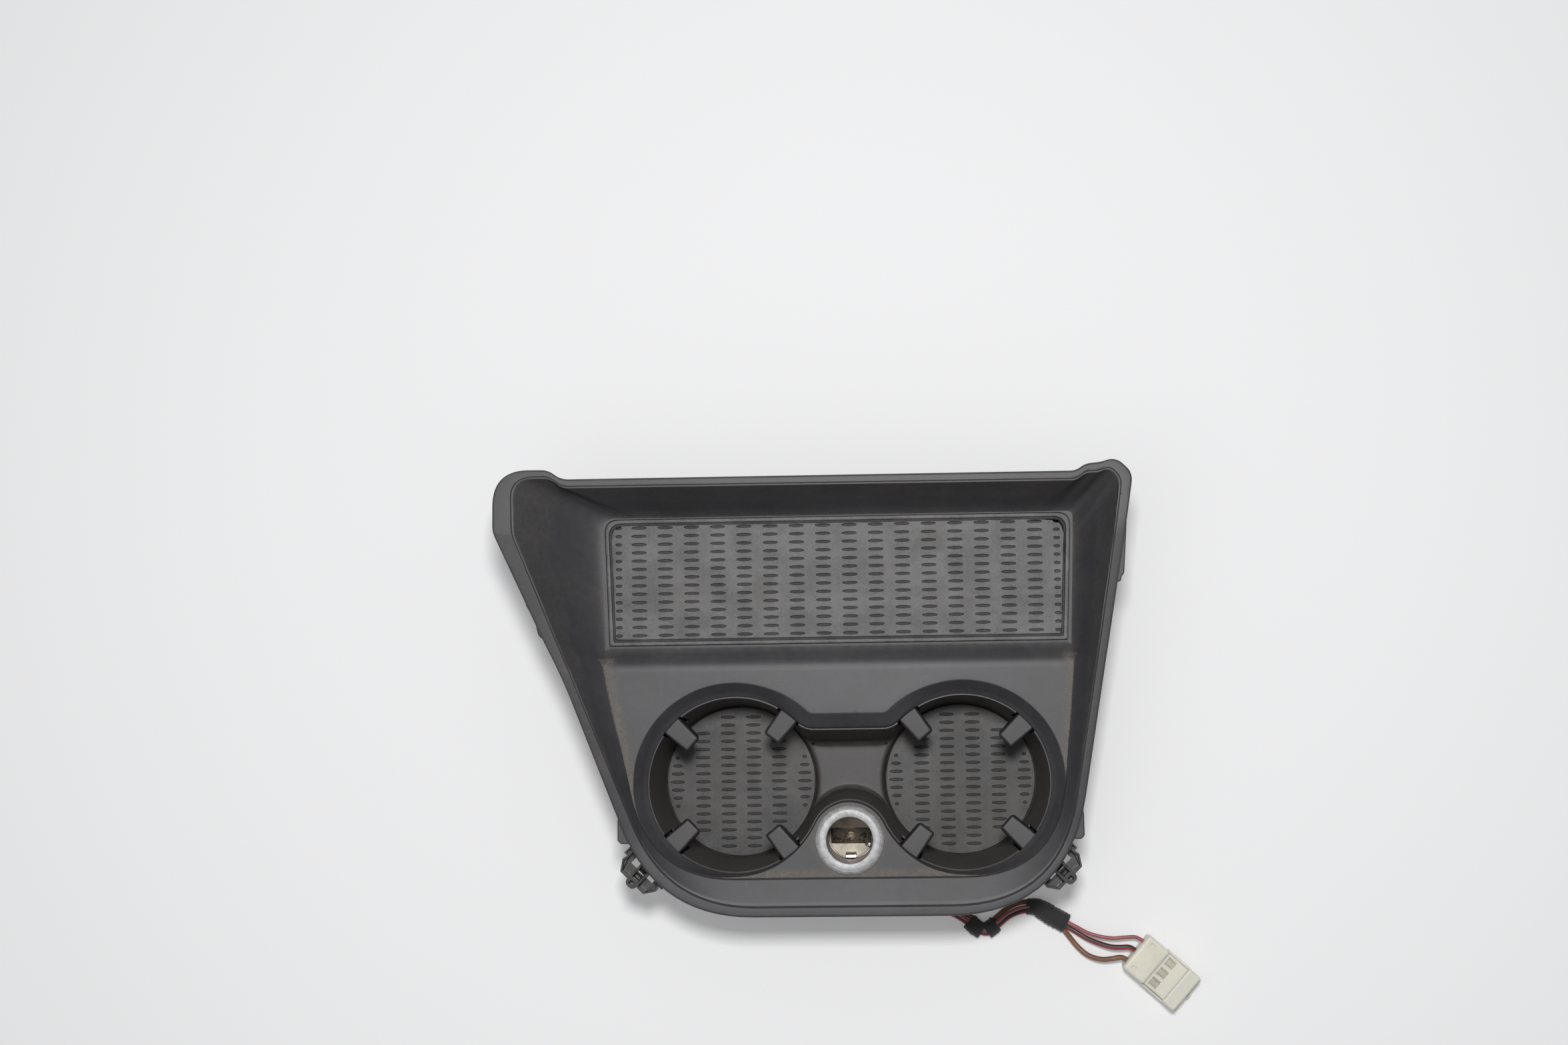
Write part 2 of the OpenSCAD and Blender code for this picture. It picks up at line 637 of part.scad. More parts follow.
module insert_ears() {
    for (s = screw_spots)
        translate([0, 0, insert_top - ear_plate])
            linear_extrude(ear_plate)
                hull() {
                    translate(s)
                        circle(screw_boss_r, $fn = 24);
                    toward = abs(s[0]) < 1 ? [0, -outlet_back - boss_r - 0.6] :
                        [sign(s[0]) * well_x, 0] + unit(s - [sign(s[0]) * well_x, 0]) * (insert_r + 1);
                    translate(toward)
                        circle(screw_boss_r + 0.6, $fn = 24);
                }
}

// Outlet, built about its own axis
ring_h = 1.6;
flange_t = 0.9;
seat_z = deck_z + ring_h - flange_t;
sleeve_foot = deck_z - sleeve_depth;
bore_foot = seat_z + flange_t - bore_len;
relief_r = bore_r + sleeve_relief;
insulator_r = bore_r - 0.4;
plate_w = 7.3;
plate_len = 15.4;
plate_t = 0.8;
insulator_top = sleeve_foot + 4;
module at_outlet(z = 0) {
    translate([0, -outlet_back, z])
        children();
}
module outlet_ring() {
    flutes = [for (k = [0:2 * flute_count - 1]) let (a = k * 180 / flute_count)
        (ring_r - (k % 2) * 0.5) * [cos(a), sin(a)]];
    color([0.66, 0.66, 0.66])
    at_outlet(deck_z)
        difference() {
            linear_extrude(ring_h - 0.2)
                polygon(flutes);
            translate([0, 0, -1])
                cylinder(r = bore_r + sleeve_wall + 0.05, h = 4, $fn = 96);
            translate([0, 0, ring_h - flange_t])
                cylinder(r = sleeve_flange_r + 0.1, h = 2, $fn = 96);
        }
}
barrel_len = 30;
module outlet_barrel() {
    color([0.12, 0.12, 0.12])
    at_outlet(deck_z - barrel_len)
        difference() {
            union() {
                cylinder(r = barrel_r, h = barrel_len, $fn = 96);
                for (a = [45:90:315])
                    rotate([0, 0, a])
                        translate([barrel_r - 0.3, -2, barrel_len - trim_wall - 3 - 0.2])
                            cube([1.2, 4, 3]);
            }
            translate([0, 0, -1])
                cylinder(r = bore_r + sleeve_wall + 0.05, h = barrel_len + 2, $fn = 96);
        }
}
module outlet_sleeve() {
    color([0.72, 0.72, 0.7])
    at_outlet()
        rotate_extrude($fn = 96)
            polygon([[6, sleeve_foot], [bore_r + sleeve_wall, sleeve_foot],
                [bore_r + sleeve_wall, seat_z], [sleeve_flange_r, seat_z],
                [sleeve_flange_r, seat_z + flange_t - 0.2], [sleeve_flange_r - 0.4, seat_z + flange_t],
                [bore_r, seat_z + flange_t], [bore_r, bore_foot], [relief_r, bore_foot],
                [relief_r, sleeve_foot + sleeve_wall], [6, sleeve_foot + sleeve_wall]]);
}
module outlet_insulator() {
    color([0.8, 0.76, 0.66])
    at_outlet()
        difference() {
            union() {
                translate([0, 0, sleeve_foot + sleeve_wall])
                    cylinder(r = insulator_r, h = insulator_top - sleeve_foot - sleeve_wall, $fn = 64);
                translate([0, 0, sleeve_foot - 3])
                    cylinder(r = 5.9, h = 4, $fn = 48);
            }
            translate([-plate_len / 2 - 0.1, -plate_w / 2 - 0.1, insulator_top - plate_t])
                cube([plate_len + 0.2, plate_w + 0.2, 5]);
            translate([0, 0, sleeve_foot - 4])
                cylinder(r = 1.6, h = 20, $fn = 32);
            translate([0, -insulator_r, insulator_top - 1])
                cylinder(r = 2.2, h = 5, $fn = 6);
        }
}
module outlet_contact() {
    rise = 2.2;
    color([0.34, 0.25, 0.18])
    at_outlet(insulator_top - plate_t)
        difference() {
            union() {
                translate([-plate_len / 2, -plate_w / 2, 0])
                    cube([plate_len, plate_w, plate_t]);
                for (m = [-1, 1])
                    translate([m * (plate_len / 2 - plate_t / 2), 0, rise / 2])
                        cube([plate_t, plate_w - 1, rise], center = true);
            }
            translate([0, 0, -1])
                cylinder(r = 1.6, h = 4, $fn = 32);
        }
}
module outlet_rivet() {
    color([0.4, 0.32, 0.24])
    at_outlet()
        rotate_extrude($fn = 48)
            polygon([[0, sleeve_foot - 3.6], [1.6, sleeve_foot - 3.6], [1.6, insulator_top],
                [2.3, insulator_top], [2.1, insulator_top + 0.8], [1.2, insulator_top + 1],
                [0.9, insulator_top + 0.7], [0, insulator_top + 0.7]]);
}
claw_z = 6;
module outlet_claws() {
    color([0.62, 0.6, 0.56])
    at_outlet(insulator_top)
        for (a = [270, 335])
            rotate([0, 0, a])
                translate([bore_r - 2.4, -1.3, 0])
                    rotate([90, 0, 90])
                        linear_extrude(1.9)
                            polygon([[0, 0], [2.6, 0], [2.2, claw_z / 3], [0.4, claw_z / 3]]);
}
rear_plug_h = 9;
rear_plug_w = 16;
rear_plug_d = 13;
rear_plug_top = sleeve_foot - 3.6;
module outlet_rear_plug() {
    color([0.1, 0.1, 0.1])
    at_outlet(rear_plug_top - rear_plug_h)
        difference() {
            translate([-rear_plug_w / 2, -rear_plug_d / 2, 0])
                cube([rear_plug_w, rear_plug_d, rear_plug_h]);
            translate([-rear_plug_w / 2 + 2, -rear_plug_d / 2 + 2, rear_plug_h - 2])
                cube([rear_plug_w - 4, rear_plug_d - 4, 3]);
        }
}

// Corner brackets, built with u along the corner and v outwards, then turned to the corner
bracket_u = -40.8;
bracket_v = 94.6;
bracket_top = rear_rim_z - skirt_drop;
module at_bracket(side) {
    mirror([side > 0 ? 1 : 0, 0, 0])
        rotate([0, 0, 135])
            translate([-bracket_u, bracket_v, bracket_top - bracket_h])
                children();
}
module corner_bracket(side) {
    h = bracket_len / 2;
    w = bracket_wall;
    v1 = bracket_reach;
    pocket = h - 4.6 - w;
    color([0.09, 0.09, 0.09])
    at_bracket(side)
        difference() {
            linear_extrude(bracket_h)
                polygon([[-h - 1.4, -3], [-h - 1.4, 2.4], [-h + 0.6, 2.4], [-h, 5], [-h + 3.4, v1 + 1],
                    [-3, v1 + 1], [-2.6, v1 + 2.6], [-1.2, v1 + 3.6], [1.2, v1 + 3.6], [2.6, v1 + 2.6],
                    [3, v1 + 1], [h - 3.4, v1 + 1], [h, 5], [h - 0.6, 2.4], [h + 1.4, 2.4],
                    [h + 1.4, -3]]);
            for (m = [-1, 1]) {
                translate([m * (3 + w + pocket / 2), 3.6 + v1 / 2, w])
                    linear_extrude(bracket_h)
                        polygon([[-pocket / 2, -v1 / 2], [pocket / 2, -v1 / 2], [pocket / 2, 0],
                            [m > 0 ? pocket / 2 - 2 : pocket / 2, v1 / 2 - 2.8],
                            [m > 0 ? -pocket / 2 : -pocket / 2 + 2, v1 / 2 - 2.8], [-pocket / 2, 0]]);
                translate([m * (3 + w + pocket / 2) - pocket / 2, -1, -1])
                    cube([pocket, 4.4, bracket_h + 2]);
            }
            translate([-2, -1, 2])
                cube([4, v1 + 0.6, bracket_h]);
        }
}
module corner_clip(side) {
    color([0.2, 0.2, 0.21])
    at_bracket(side)
        difference() {
            translate([-1.9, -0.8, 2])
                cube([3.8, bracket_reach - 0.4, bracket_h - 2.6]);
            translate([-0.9, 1.2, 3])
                cube([1.8, 3.6, bracket_h]);
        }
}
module insert_screws() {
    head_h = 2;
    color([0.5, 0.5, 0.52])
    for (s = screw_spots)
        translate([s[0], s[1], insert_top - ear_plate - head_h])
            union() {
                cylinder(r = screw_r + 1.6, h = head_h, $fn = 32);
                cylinder(r = screw_r, h = head_h + ear_plate + 4, $fn = 24);
            }
}

// Harness: three wires from the rear plug, over the surface, to the connector.
// Each route is a list of X, Y, Z points chosen by hand.
wire_a = [[-3, -32.8, 7.6], [-2.9, -34.8, 7.3], [-2.3, -37, 6.5], [0, -41, 5], [6, -47, 4],
    [16, -53, 3.6], [28, -58, 3.4],
    [40, -61.5, 3.4], [50, -65, 3.4], [57, -69.5, 3.4], [62, -73, 3.4], [66, -73.4, 3.8], [70, -70, 4.6],
    [76, -65.2, 5], [83, -62.6, 5], [90, -63.2, 4.6], [96, -65.8, 4.4], [102, -68.8, 4.4],
    [108, -72, 4.6], [114, -75.2, 5], [120, -77, 5.6], [126, -77.8, 6], [132, -77.4, 6.4],
    [137, -77.4, 6.5], [141.1, -79.6, 6.5]];
wire_b = [[0.4, -32.8, 5.4], [0.5, -34.8, 5.2], [1.3, -37, 4.5], [4, -41, 3.2], [10, -48, 2],
    [19, -54.4, 1.5], [30, -59, 1.4],
    [41, -62.6, 1.4], [50.6, -66.8, 1.4], [57.2, -71.2, 1.4], [62.4, -74.8, 1.4], [66.8, -75, 1.6],
    [71, -71.4, 2.2], [77, -66.8, 2.6], [84, -64.6, 2.4], [91, -65.6, 1.9], [97, -68.4, 1.6],
    [102.6, -71.4, 1.6], [108, -74.6, 2], [113.6, -78, 3.2], [119.4, -80.4, 4.6], [125, -82, 5.8],
    [130, -82.2, 6.4], [133.8, -82.2, 6.5], [137.1, -84.1, 6.5]];
wire_c = [[4, -32.8, 7.6], [4.1, -34.6, 7.2], [5.2, -36.8, 6], [8, -41.6, 4], [14, -48, 2.6],
    [22, -53, 1.6], [32, -56.8, 1.4],
    [42.6, -60, 1.4], [52.6, -64.2, 1.4], [59.6, -68.6, 1.6], [63.4, -71.2, 1.6], [66.6, -70.8, 1.6],
    [70, -67.6, 1.6], [76, -63, 1.6], [83, -60.4, 1.6], [90, -61.4, 1.6], [95, -65.2, 1.8],
    [100, -70.6, 2], [104.4, -76.2, 2], [109, -82, 2.4], [114, -86.2, 3.6], [120, -88, 5.2],
    [125.6, -87.6, 6.4], [129.6, -87, 6.5], [133.2, -88.6, 6.5]];
module wire_tube(route, d, tint) {
    color(tint)
    sweep(route, d / 2, 8);
}
plug_mid = [136.4, -83.4];
plug_turn = -41.5;
module at_plug(x = 0) {
    translate([plug_mid[0], plug_mid[1], 0])
        rotate([0, 0, plug_turn])
            translate([x, 0, 0])
                children();
}
// Each tape's place as X, Y and turn, and its length, width and height
exit_tape_place = [59.6, -72, -38];
exit_tape_size = [9, 8.4, 5.4];
middle_tape_place = [67.4, -72.4, 38];
middle_tape_size = [6, 8.4, 5.8];
cloth_tape_place = [96.6, -67, -27];
cloth_tape_size = [17, 9.6, 6.4];
// Tape: a short closed sleeve around a stretch of the wires
module tape_at(place, size) {
    len = size[0];
    w = size[1];
    h = size[2];
    color([0.1, 0.1, 0.1])
    translate([place[0], place[1], 0])
        rotate([0, 0, place[2]])
            intersection() {
                translate([0, 0, h / 2])
                    hull()
                        for (m = [-1, 1])
                            translate([-len / 2, m * (w - h) / 2, 0])
                                rotate([0, 90, 0])
                                    cylinder(r = h / 2, h = len, $fn = 24);
                translate([-len, -w, 0])
                    cube([2 * len, 2 * w, h]);
            }
}
module connector_housing() {
    w = plug_w;
    grip = 13;
    t = plug_wall;
    color([0.83, 0.81, 0.7])
    at_plug()
        difference() {
            union() {
                translate([0, -w / 2, 0.4])
                    cube([grip, w, plug_h - 0.4]);
                translate([grip - 1, -w / 2 + 0.6, 0.9])
                    cube([plug_len - grip - 4, w - 1.2, plug_h - 1.8]);
                translate([plug_len - 15, -w / 2, 0])
                    cube([11, w, plug_h]);
                for (k = [0:4])
                    translate([plug_len - 5, -w / 2 + k * (w - 2.4) / 4, k % 2 == 0 ? 0 : 1])
                        cube([k % 2 == 0 ? 5 : 3.4, 2.4, plug_h - (k % 2 == 0 ? 4 : 3)]);
            }
            for (k = [-1:1]) {
                translate([-1, k * 6, plug_h / 2])
                    rotate([0, 90, 0])
                        cylinder(r = 1.9, h = 12, $fn = 32);
                translate([grip, k * 6 - 2.4, plug_h / 2 - 2.6])
                    cube([plug_len, 4.8, 5.2]);
                translate([grip + 1.6, k * 6 - 2, plug_h / 2])
                    cube([4.6, 4, plug_h]);
            }
            for (k = [-1, 1])
                translate([3.4, k * 7 - 0.8, plug_h - 0.7])
                    cube([2.6, 1.6, 2]);
        }
}
module connector_contacts() {
    color([0.66, 0.62, 0.5])
    at_plug(13.4)
        for (k = [-1:1])
            translate([0, k * 6, plug_h / 2 - 2.6])
                difference() {
                    union() {
                        translate([0, -2, 0])
                            cube([7, 4, 4.2]);
                        translate([0, 0, 2.6])
                            rotate([0, 90, 0])
                                cylinder(r = 1.5, h = plug_len - 17.4, $fn = 24);
                    }
                    translate([8, 0, 2.6])
                        rotate([0, 90, 0])
                            cylinder(r = 0.9, h = plug_len, $fn = 24);
                }
}

FINGER_NAMES = [for (f = finger_spots) str(f[0], "_", f[1])];

tray_shell();
cup_insert();
tray_mat();
cup_mat(-1);  // left_cup_mat
cup_mat(1);  // right_cup_mat
for (i = [0:len(finger_spots) - 1]) {
    finger(i);
    finger_pin(i);
    finger_spring(i);
}
outlet_ring();
outlet_barrel();
outlet_sleeve();
outlet_insulator();
outlet_contact();
outlet_rivet();
outlet_claws();
outlet_rear_plug();
corner_bracket(-1);  // left_corner_bracket
corner_bracket(1);  // right_corner_bracket
corner_clip(-1);  // left_corner_clip
corner_clip(1);  // right_corner_clip
insert_screws();
wire_tube(wire_a, thin_wire_d, [0.7, 0.3, 0.3]);  // thin_wire
wire_tube(wire_b, wire_d, [0.7, 0.16, 0.2]);  // red_wire
wire_tube(wire_c, wire_d, [0.5, 0.32, 0.2]);  // brown_wire
tape_at(exit_tape_place, exit_tape_size);  // exit_tape
tape_at(middle_tape_place, middle_tape_size);  // middle_tape
tape_at(cloth_tape_place, cloth_tape_size);  // cloth_tape
connector_housing();
connector_contacts();
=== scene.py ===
import math
import random
from contextlib import contextmanager

import bmesh
import bpy
import numpy as np
from mathutils import Matrix, Vector
from mathutils.geometry import delaunay_2d_cdt


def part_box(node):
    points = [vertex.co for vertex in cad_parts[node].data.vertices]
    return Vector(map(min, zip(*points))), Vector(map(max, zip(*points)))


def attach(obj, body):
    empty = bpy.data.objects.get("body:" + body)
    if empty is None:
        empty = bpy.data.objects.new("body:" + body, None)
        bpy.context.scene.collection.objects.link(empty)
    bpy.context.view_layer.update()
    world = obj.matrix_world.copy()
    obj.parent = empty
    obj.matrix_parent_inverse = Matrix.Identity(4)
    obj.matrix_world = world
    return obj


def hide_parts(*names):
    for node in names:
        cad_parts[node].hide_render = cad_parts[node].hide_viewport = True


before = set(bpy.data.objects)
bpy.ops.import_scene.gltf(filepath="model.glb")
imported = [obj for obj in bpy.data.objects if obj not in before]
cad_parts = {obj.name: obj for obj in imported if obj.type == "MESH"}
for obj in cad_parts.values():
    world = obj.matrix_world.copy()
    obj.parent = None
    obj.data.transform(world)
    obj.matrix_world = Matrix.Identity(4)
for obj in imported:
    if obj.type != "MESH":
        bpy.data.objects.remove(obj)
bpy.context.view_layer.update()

# All sizes are in millimetres here, and a mesh is made in metres.
MM = 0.001
BODY = "console"
scene = bpy.context.scene


# Camera, then the harness
def add_camera():
    data = bpy.data.cameras.new("camera")
    data.sensor_width = 36
    data.lens = 53.62
    data.clip_end = 20
    camera = bpy.data.objects.new("camera", data)
    right = Vector((0.99882, -0.01391, -0.04663))
    up = Vector((0.01740, 0.99701, 0.07527))
    back = right.cross(up)
    turn = Matrix((right, up, back)).transposed().to_4x4()
    camera.matrix_world = Matrix.Translation((0.021588, 0.039395, 1.157164)) @ turn
    scene.collection.objects.link(camera)
    scene.camera = camera


def link(name, mesh):
    piece = bpy.data.objects.new(name, mesh)
    scene.collection.objects.link(piece)
    return piece


def mesh_piece(name, points, faces, smooth=True):
    """A piece from points in millimetres."""
    mesh = bpy.data.meshes.new(name)
    mesh.from_pydata([(x * MM, y * MM, z * MM) for x, y, z in points], [], faces)
    mesh.validate()
    mesh.shade_smooth() if smooth else mesh.shade_flat()
    return link(name, mesh)


def apply_modifiers(piece):
    graph = bpy.context.evaluated_depsgraph_get()
    graph.update()
    mesh = bpy.data.meshes.new_from_object(piece.evaluated_get(graph))
    piece.modifiers.clear()
    piece.data = mesh
    return piece


def joined(name, parts):
    """One piece from several, with their modifiers applied."""
    tool = bmesh.new()
    for part in parts:
        apply_modifiers(part)
        tool.from_mesh(part.data)
        bpy.data.objects.remove(part)
    bmesh.ops.recalc_face_normals(tool, faces=tool.faces)
    mesh = bpy.data.meshes.new(name)
    tool.to_mesh(mesh)
    tool.free()
    mesh.shade_smooth()
    return link(name, mesh)


@contextmanager
def edited(piece):
    """The piece's mesh, open for changes that are written back at the end."""
    tool = bmesh.new()
    tool.from_mesh(piece.data)
    yield tool
    tool.to_mesh(piece.data)
    tool.free()


def even_normals(piece, angle=40):
    """Smooth shading that keeps broad faces flat and breaks at sharp edges."""
    piece.data.shade_smooth()
    limit = math.radians(angle)
    with edited(piece) as tool:
        for edge in tool.edges:
            edge.smooth = len(edge.link_faces) != 2 or edge.calc_face_angle(0) < limit
    piece.modifiers.new("normals", "WEIGHTED_NORMAL").keep_sharp = True
    return piece


def outwards(piece, sheet=False):
    """Turns the faces outwards, and those of an open sheet upwards."""
    with edited(piece) as tool:
        bmesh.ops.recalc_face_normals(tool, faces=tool.faces)
        if sheet and sum(f.normal.z * f.calc_area() for f in tool.faces) < 0:
            bmesh.ops.reverse_faces(tool, faces=tool.faces)
    return piece


def bevelled(piece, width, segments=3):
    bevel = piece.modifiers.new("bevel", "BEVEL")
    bevel.width = width * MM
    bevel.segments = segments
    bevel.limit_method = "ANGLE"
    bevel.angle_limit = math.radians(30)
    bevel.use_clamp_overlap = True
    return piece


def thickened(piece, thickness):
    """Gives an open sheet a thickness below its upper side."""
    wall = piece.modifiers.new("wall", "SOLIDIFY")
    wall.thickness = thickness * MM
    wall.offset = -1
    return piece


def cut_away(pieces, cutters, use_self=False):
    """Cuts the same cutters out of each piece. use_self is for cutters that overlap."""
    cutter = joined("cutters", cutters)
    for piece in pieces:
        apply_modifiers(piece)
        cut = piece.modifiers.new("cut", "BOOLEAN")
        cut.object = cutter
        cut.solver = "EXACT"
        cut.use_self = use_self
        apply_modifiers(piece)
    bpy.data.objects.remove(cutter)


def moved(piece, place):
    for vertex in piece.data.vertices:
        vertex.co = Vector(place(vertex.co / MM)) * MM
    return piece


def placed_at(x0, y0, angle, ahead=0.0, z0=0.0):
    """A function that takes a point from a turned frame of its own to the part's."""
    turn = math.radians(angle)

    def place(point):
        x, y = point[0] + ahead, point[1]
        return (x0 + x * math.cos(turn) - y * math.sin(turn),
                y0 + x * math.sin(turn) + y * math.cos(turn), z0 + point[2])
    return place


def swapped(point):
    """Lays a prism on its side: its height becomes Y."""
    return point[0], point[2], point[1]


def circle(radius, count, x=0.0, y=0.0):
    """Points evenly round a circle."""
    angles = [2 * math.pi * k / count for k in range(count)]
    return [(x + radius * math.cos(a), y + radius * math.sin(a)) for a in angles]


def prism(name, line, low, high):
    """An outline in plan, raised from low to high."""
    count = len(line)
    area = sum(a[0] * b[1] - b[0] * a[1] for a, b in zip(line, line[1:] + line[:1]))
    line = line if area > 0 else line[::-1]
    points = [(x, y, low) for x, y in line] + [(x, y, high) for x, y in line]
    faces = [tuple(reversed(range(count))), tuple(range(count, 2 * count))]
    faces += [(i, (i + 1) % count, count + (i + 1) % count, count + i) for i in range(count)]
    return mesh_piece(name, points, faces)


def box_piece(name, low, high):
    """A box between two corners, whose X may come in either order."""
    (x1, y1, z1), (x2, y2, z2) = low, high
    x1, x2 = min(x1, x2), max(x1, x2)
    return prism(name, [(x1, y1), (x2, y1), (x2, y2), (x1, y2)], z1, z2)


def cylinder_piece(name, radius, start, end, count=32):
    """A rod between two points."""
    start, end = Vector(start), Vector(end)
    ahead = (end - start).normalized()
    side = ahead.orthogonal().normalized()
    across = ahead.cross(side)
    points = [tuple(centre + radius * (x * side + y * across))
              for centre in (start, end) for x, y in circle(1, count)]
    faces = [tuple(reversed(range(count))), tuple(range(count, 2 * count))]
    faces += [(k, (k + 1) % count, count + (k + 1) % count, count + k) for k in range(count)]
    return mesh_piece(name, points, faces)


def hull(name, points):
    """The convex hull of points in millimetres."""
    tool = bmesh.new()
    for x, y, z in points:
        tool.verts.new((x * MM, y * MM, z * MM))
    bmesh.ops.convex_hull(tool, input=tool.verts)
    bmesh.ops.delete(tool, geom=[v for v in tool.verts if not v.link_faces], context="VERTS")
    mesh = bpy.data.meshes.new(name)
    tool.to_mesh(mesh)
    tool.free()
    mesh.shade_smooth()
    return link(name, mesh)


def hull_of_balls(name, balls, segments=24):
    """The hull of balls, each (x, y, z, radius)."""
    points = []
    for x, y, z, r in balls:
        for j in range(1, segments // 2):
            b = math.pi * j / (segments // 2)
            for i in range(segments):
                a = 2 * math.pi * i / segments
                points.append((x + r * math.sin(b) * math.cos(a), y + r * math.sin(b) * math.sin(a),
                               z + r * math.cos(b)))
        points += [(x, y, z - r), (x, y, z + r)]
    return hull(name, points)


def mark(piece, name, amount):
    """Stores a share from 0 to 1 at each point, from its place in millimetres."""
    layer = piece.data.attributes.new(name, "FLOAT", "POINT")
    for vertex, value in zip(piece.data.vertices, layer.data):
        value.value = amount(*(vertex.co / MM))


def smooth_line(points, spacing):
    """Points at an even spacing along a smooth curve through the given ones."""
    points = [Vector(p) for p in points]
    ends = [points[0] * 2 - points[1]] + points + [points[-1] * 2 - points[-2]]
    fine = []
    for a, b, c, d in zip(ends, ends[1:], ends[2:], ends[3:]):
        for k in range(12):
            t = k / 12
            fine.append(0.5 * ((2 * b) + (c - a) * t + (2 * a - 5 * b + 4 * c - d) * t * t
                               + (3 * b - 3 * c + d - a) * t ** 3))
    fine.append(points[-1])
    steps = [0.0]
    for p, q in zip(fine, fine[1:]):
        steps.append(steps[-1] + (q - p).length)
    count = max(2, round(steps[-1] / spacing))
    result, j = [], 0
    for k in range(count + 1):
        want = steps[-1] * k / count
        while j < len(steps) - 2 and steps[j + 1] < want:
            j += 1
        share = (want - steps[j]) / max(1e-9, steps[j + 1] - steps[j])
        result.append(fine[j].lerp(fine[j + 1], min(1, share)))
    return result, steps[-1]


def tube(name, line, radius, sides=20, shape=None):
    """A tube along a line. shape(k, a) gives each section point's share of the radius."""
    points, faces = [], []
    side = Vector((0, 0, 1))
    for k, centre in enumerate(line):
        ahead = (line[min(k + 1, len(line) - 1)] - line[max(k - 1, 0)]).normalized()
        side = (side - ahead * side.dot(ahead)).normalized()
        across = ahead.cross(side)
        for i in range(sides):
            a = 2 * math.pi * i / sides
            wide, tall = shape(k, a) if shape else (1, 1)
            points.append(centre + radius * (wide * math.cos(a) * across + tall * math.sin(a) * side))
    for k in range(len(line) - 1):
        for i in range(sides):
            j = (i + 1) % sides
            faces.append((k * sides + i, (k + 1) * sides + i, (k + 1) * sides + j, k * sides + j))
    faces.append(tuple(range(sides)))
    faces.append(tuple((len(line) - 1) * sides + i for i in reversed(range(sides))))
    piece = mesh_piece(name, points, [tuple(reversed(f)) for f in faces])
    around = piece.data.uv_layers.new(name="UVMap")
    last = len(line) - 1
    for poly in piece.data.polygons:
        for corner in poly.loop_indices:
            v = piece.data.loops[corner].vertex_index
            i = v % sides
            if len(poly.vertices) == 4 and i == 0 and any(
                    piece.data.loops[c].vertex_index % sides == sides - 1 for c in poly.loop_indices):
                i = sides
            around.data[corner].uv = (i / sides, (v // sides) / last)
    return piece


# Each wire's width and the points of its route
WIRE_ROUTES = {
    "thin_wire": (1.8, [
        (-3, -32.8, 7.6), (-2.9, -34.8, 7.3), (-2.3, -37, 6.5), (0, -41, 5), (6, -47, 4),
        (16, -53, 3.6), (28, -58, 3.4), (40, -61.5, 3.4), (50, -65, 3.4), (57, -69.5, 3.4),
        (62, -73, 3.4), (66, -73.4, 3.8), (70, -70, 4.6), (76, -65.2, 5), (83, -62.6, 5),
        (90, -63.2, 4.6), (96, -65.8, 4.4), (102, -68.8, 4.4), (108, -72, 4.6), (114, -75.2, 5),
        (120, -77, 5.6), (126, -77.8, 6), (132, -77.4, 6.4), (137, -77.4, 6.5), (141.1, -79.6, 6.5)]),
    "red_wire": (2.6, [
        (0.4, -32.8, 5.4), (0.5, -34.8, 5.2), (1.3, -37, 4.5), (4, -41, 3.2), (10, -48, 2),
        (19, -54.4, 1.5), (30, -59, 1.4), (41, -62.6, 1.4), (50.6, -66.8, 1.4), (57.2, -71.2, 1.4),
        (62.4, -74.8, 1.4), (66.8, -75, 1.6), (71, -71.4, 2.2), (77, -66.8, 2.6), (84, -64.6, 2.4),
        (91, -65.6, 1.9), (97, -68.4, 1.6), (102.6, -71.4, 1.6), (108, -74.6, 2), (113.6, -78, 3.2),
        (119.4, -80.4, 4.6), (125, -82, 5.8), (130, -82.2, 6.4), (133.8, -82.2, 6.5),
        (137.1, -84.1, 6.5)]),
    "brown_wire": (2.6, [
        (4, -32.8, 7.6), (4.1, -34.6, 7.2), (5.2, -36.8, 6), (8, -41.6, 4), (14, -48, 2.6),
        (22, -53, 1.6), (32, -56.8, 1.4), (42.6, -60, 1.4), (52.6, -64.2, 1.4), (59.6, -68.6, 1.6),
        (63.4, -71.2, 1.6), (66.6, -70.8, 1.6), (70, -67.6, 1.6), (76, -63, 1.6), (83, -60.4, 1.6),
        (90, -61.4, 1.6), (95, -65.2, 1.8), (100, -70.6, 2), (104.4, -76.2, 2), (109, -82, 2.4),
        (114, -86.2, 3.6), (120, -88, 5.2), (125.6, -87.6, 6.4), (129.6, -87, 6.5), (133.2, -88.6, 6.5)])}


def add_wires():
    wires = {}
    for name, (width, route) in WIRE_ROUTES.items():
        line, length = smooth_line(route, 1.2)
        wires[name] = (tube(name + "_cover", line, width / 2, 16), line, length, width)
    return wires


add_camera()
wires = add_wires()

# The object's own sizes, as the part's source has them
WELL_X, WELL_R, WELL_FLOOR_R = 53.7, 41.5, 37.0
DECK_Z, INSERT_TOP = 56.3, 48.7
BRIDGE_Z, BRIDGE_Y, BRIDGE_DRAFT, BRIDGE_FILLET = 9.0, 25.9, 6.2, 12.0
INSERT_WALL, INSERT_STEP, TRIM_WALL = 2.2, 0.6, 2.6
TRAY_Z, STEP_FOOT_Y, STEP_RUN = 51.6, 65.4, 9.5
MAT_T, MAT_RELIEF = 2.3, 0.7
POCKET_Z, POCKET_GROW, DECK_T = 50.0, 0.3, 2.2
FLANGE_W = 5.0
RIM_LOW, RIM_RISE, RIM_FRONT, RIM_RUN = 61, 19, -27, 146
OUTLET_Y, BARREL_HOLE_R = -26.2, 13.35
OUTLET_GAP = math.hypot(WELL_X, OUTLET_Y)
BOSS_R = OUTLET_GAP - WELL_R
BOSS_A = math.degrees(math.atan2(OUTLET_Y, WELL_X))
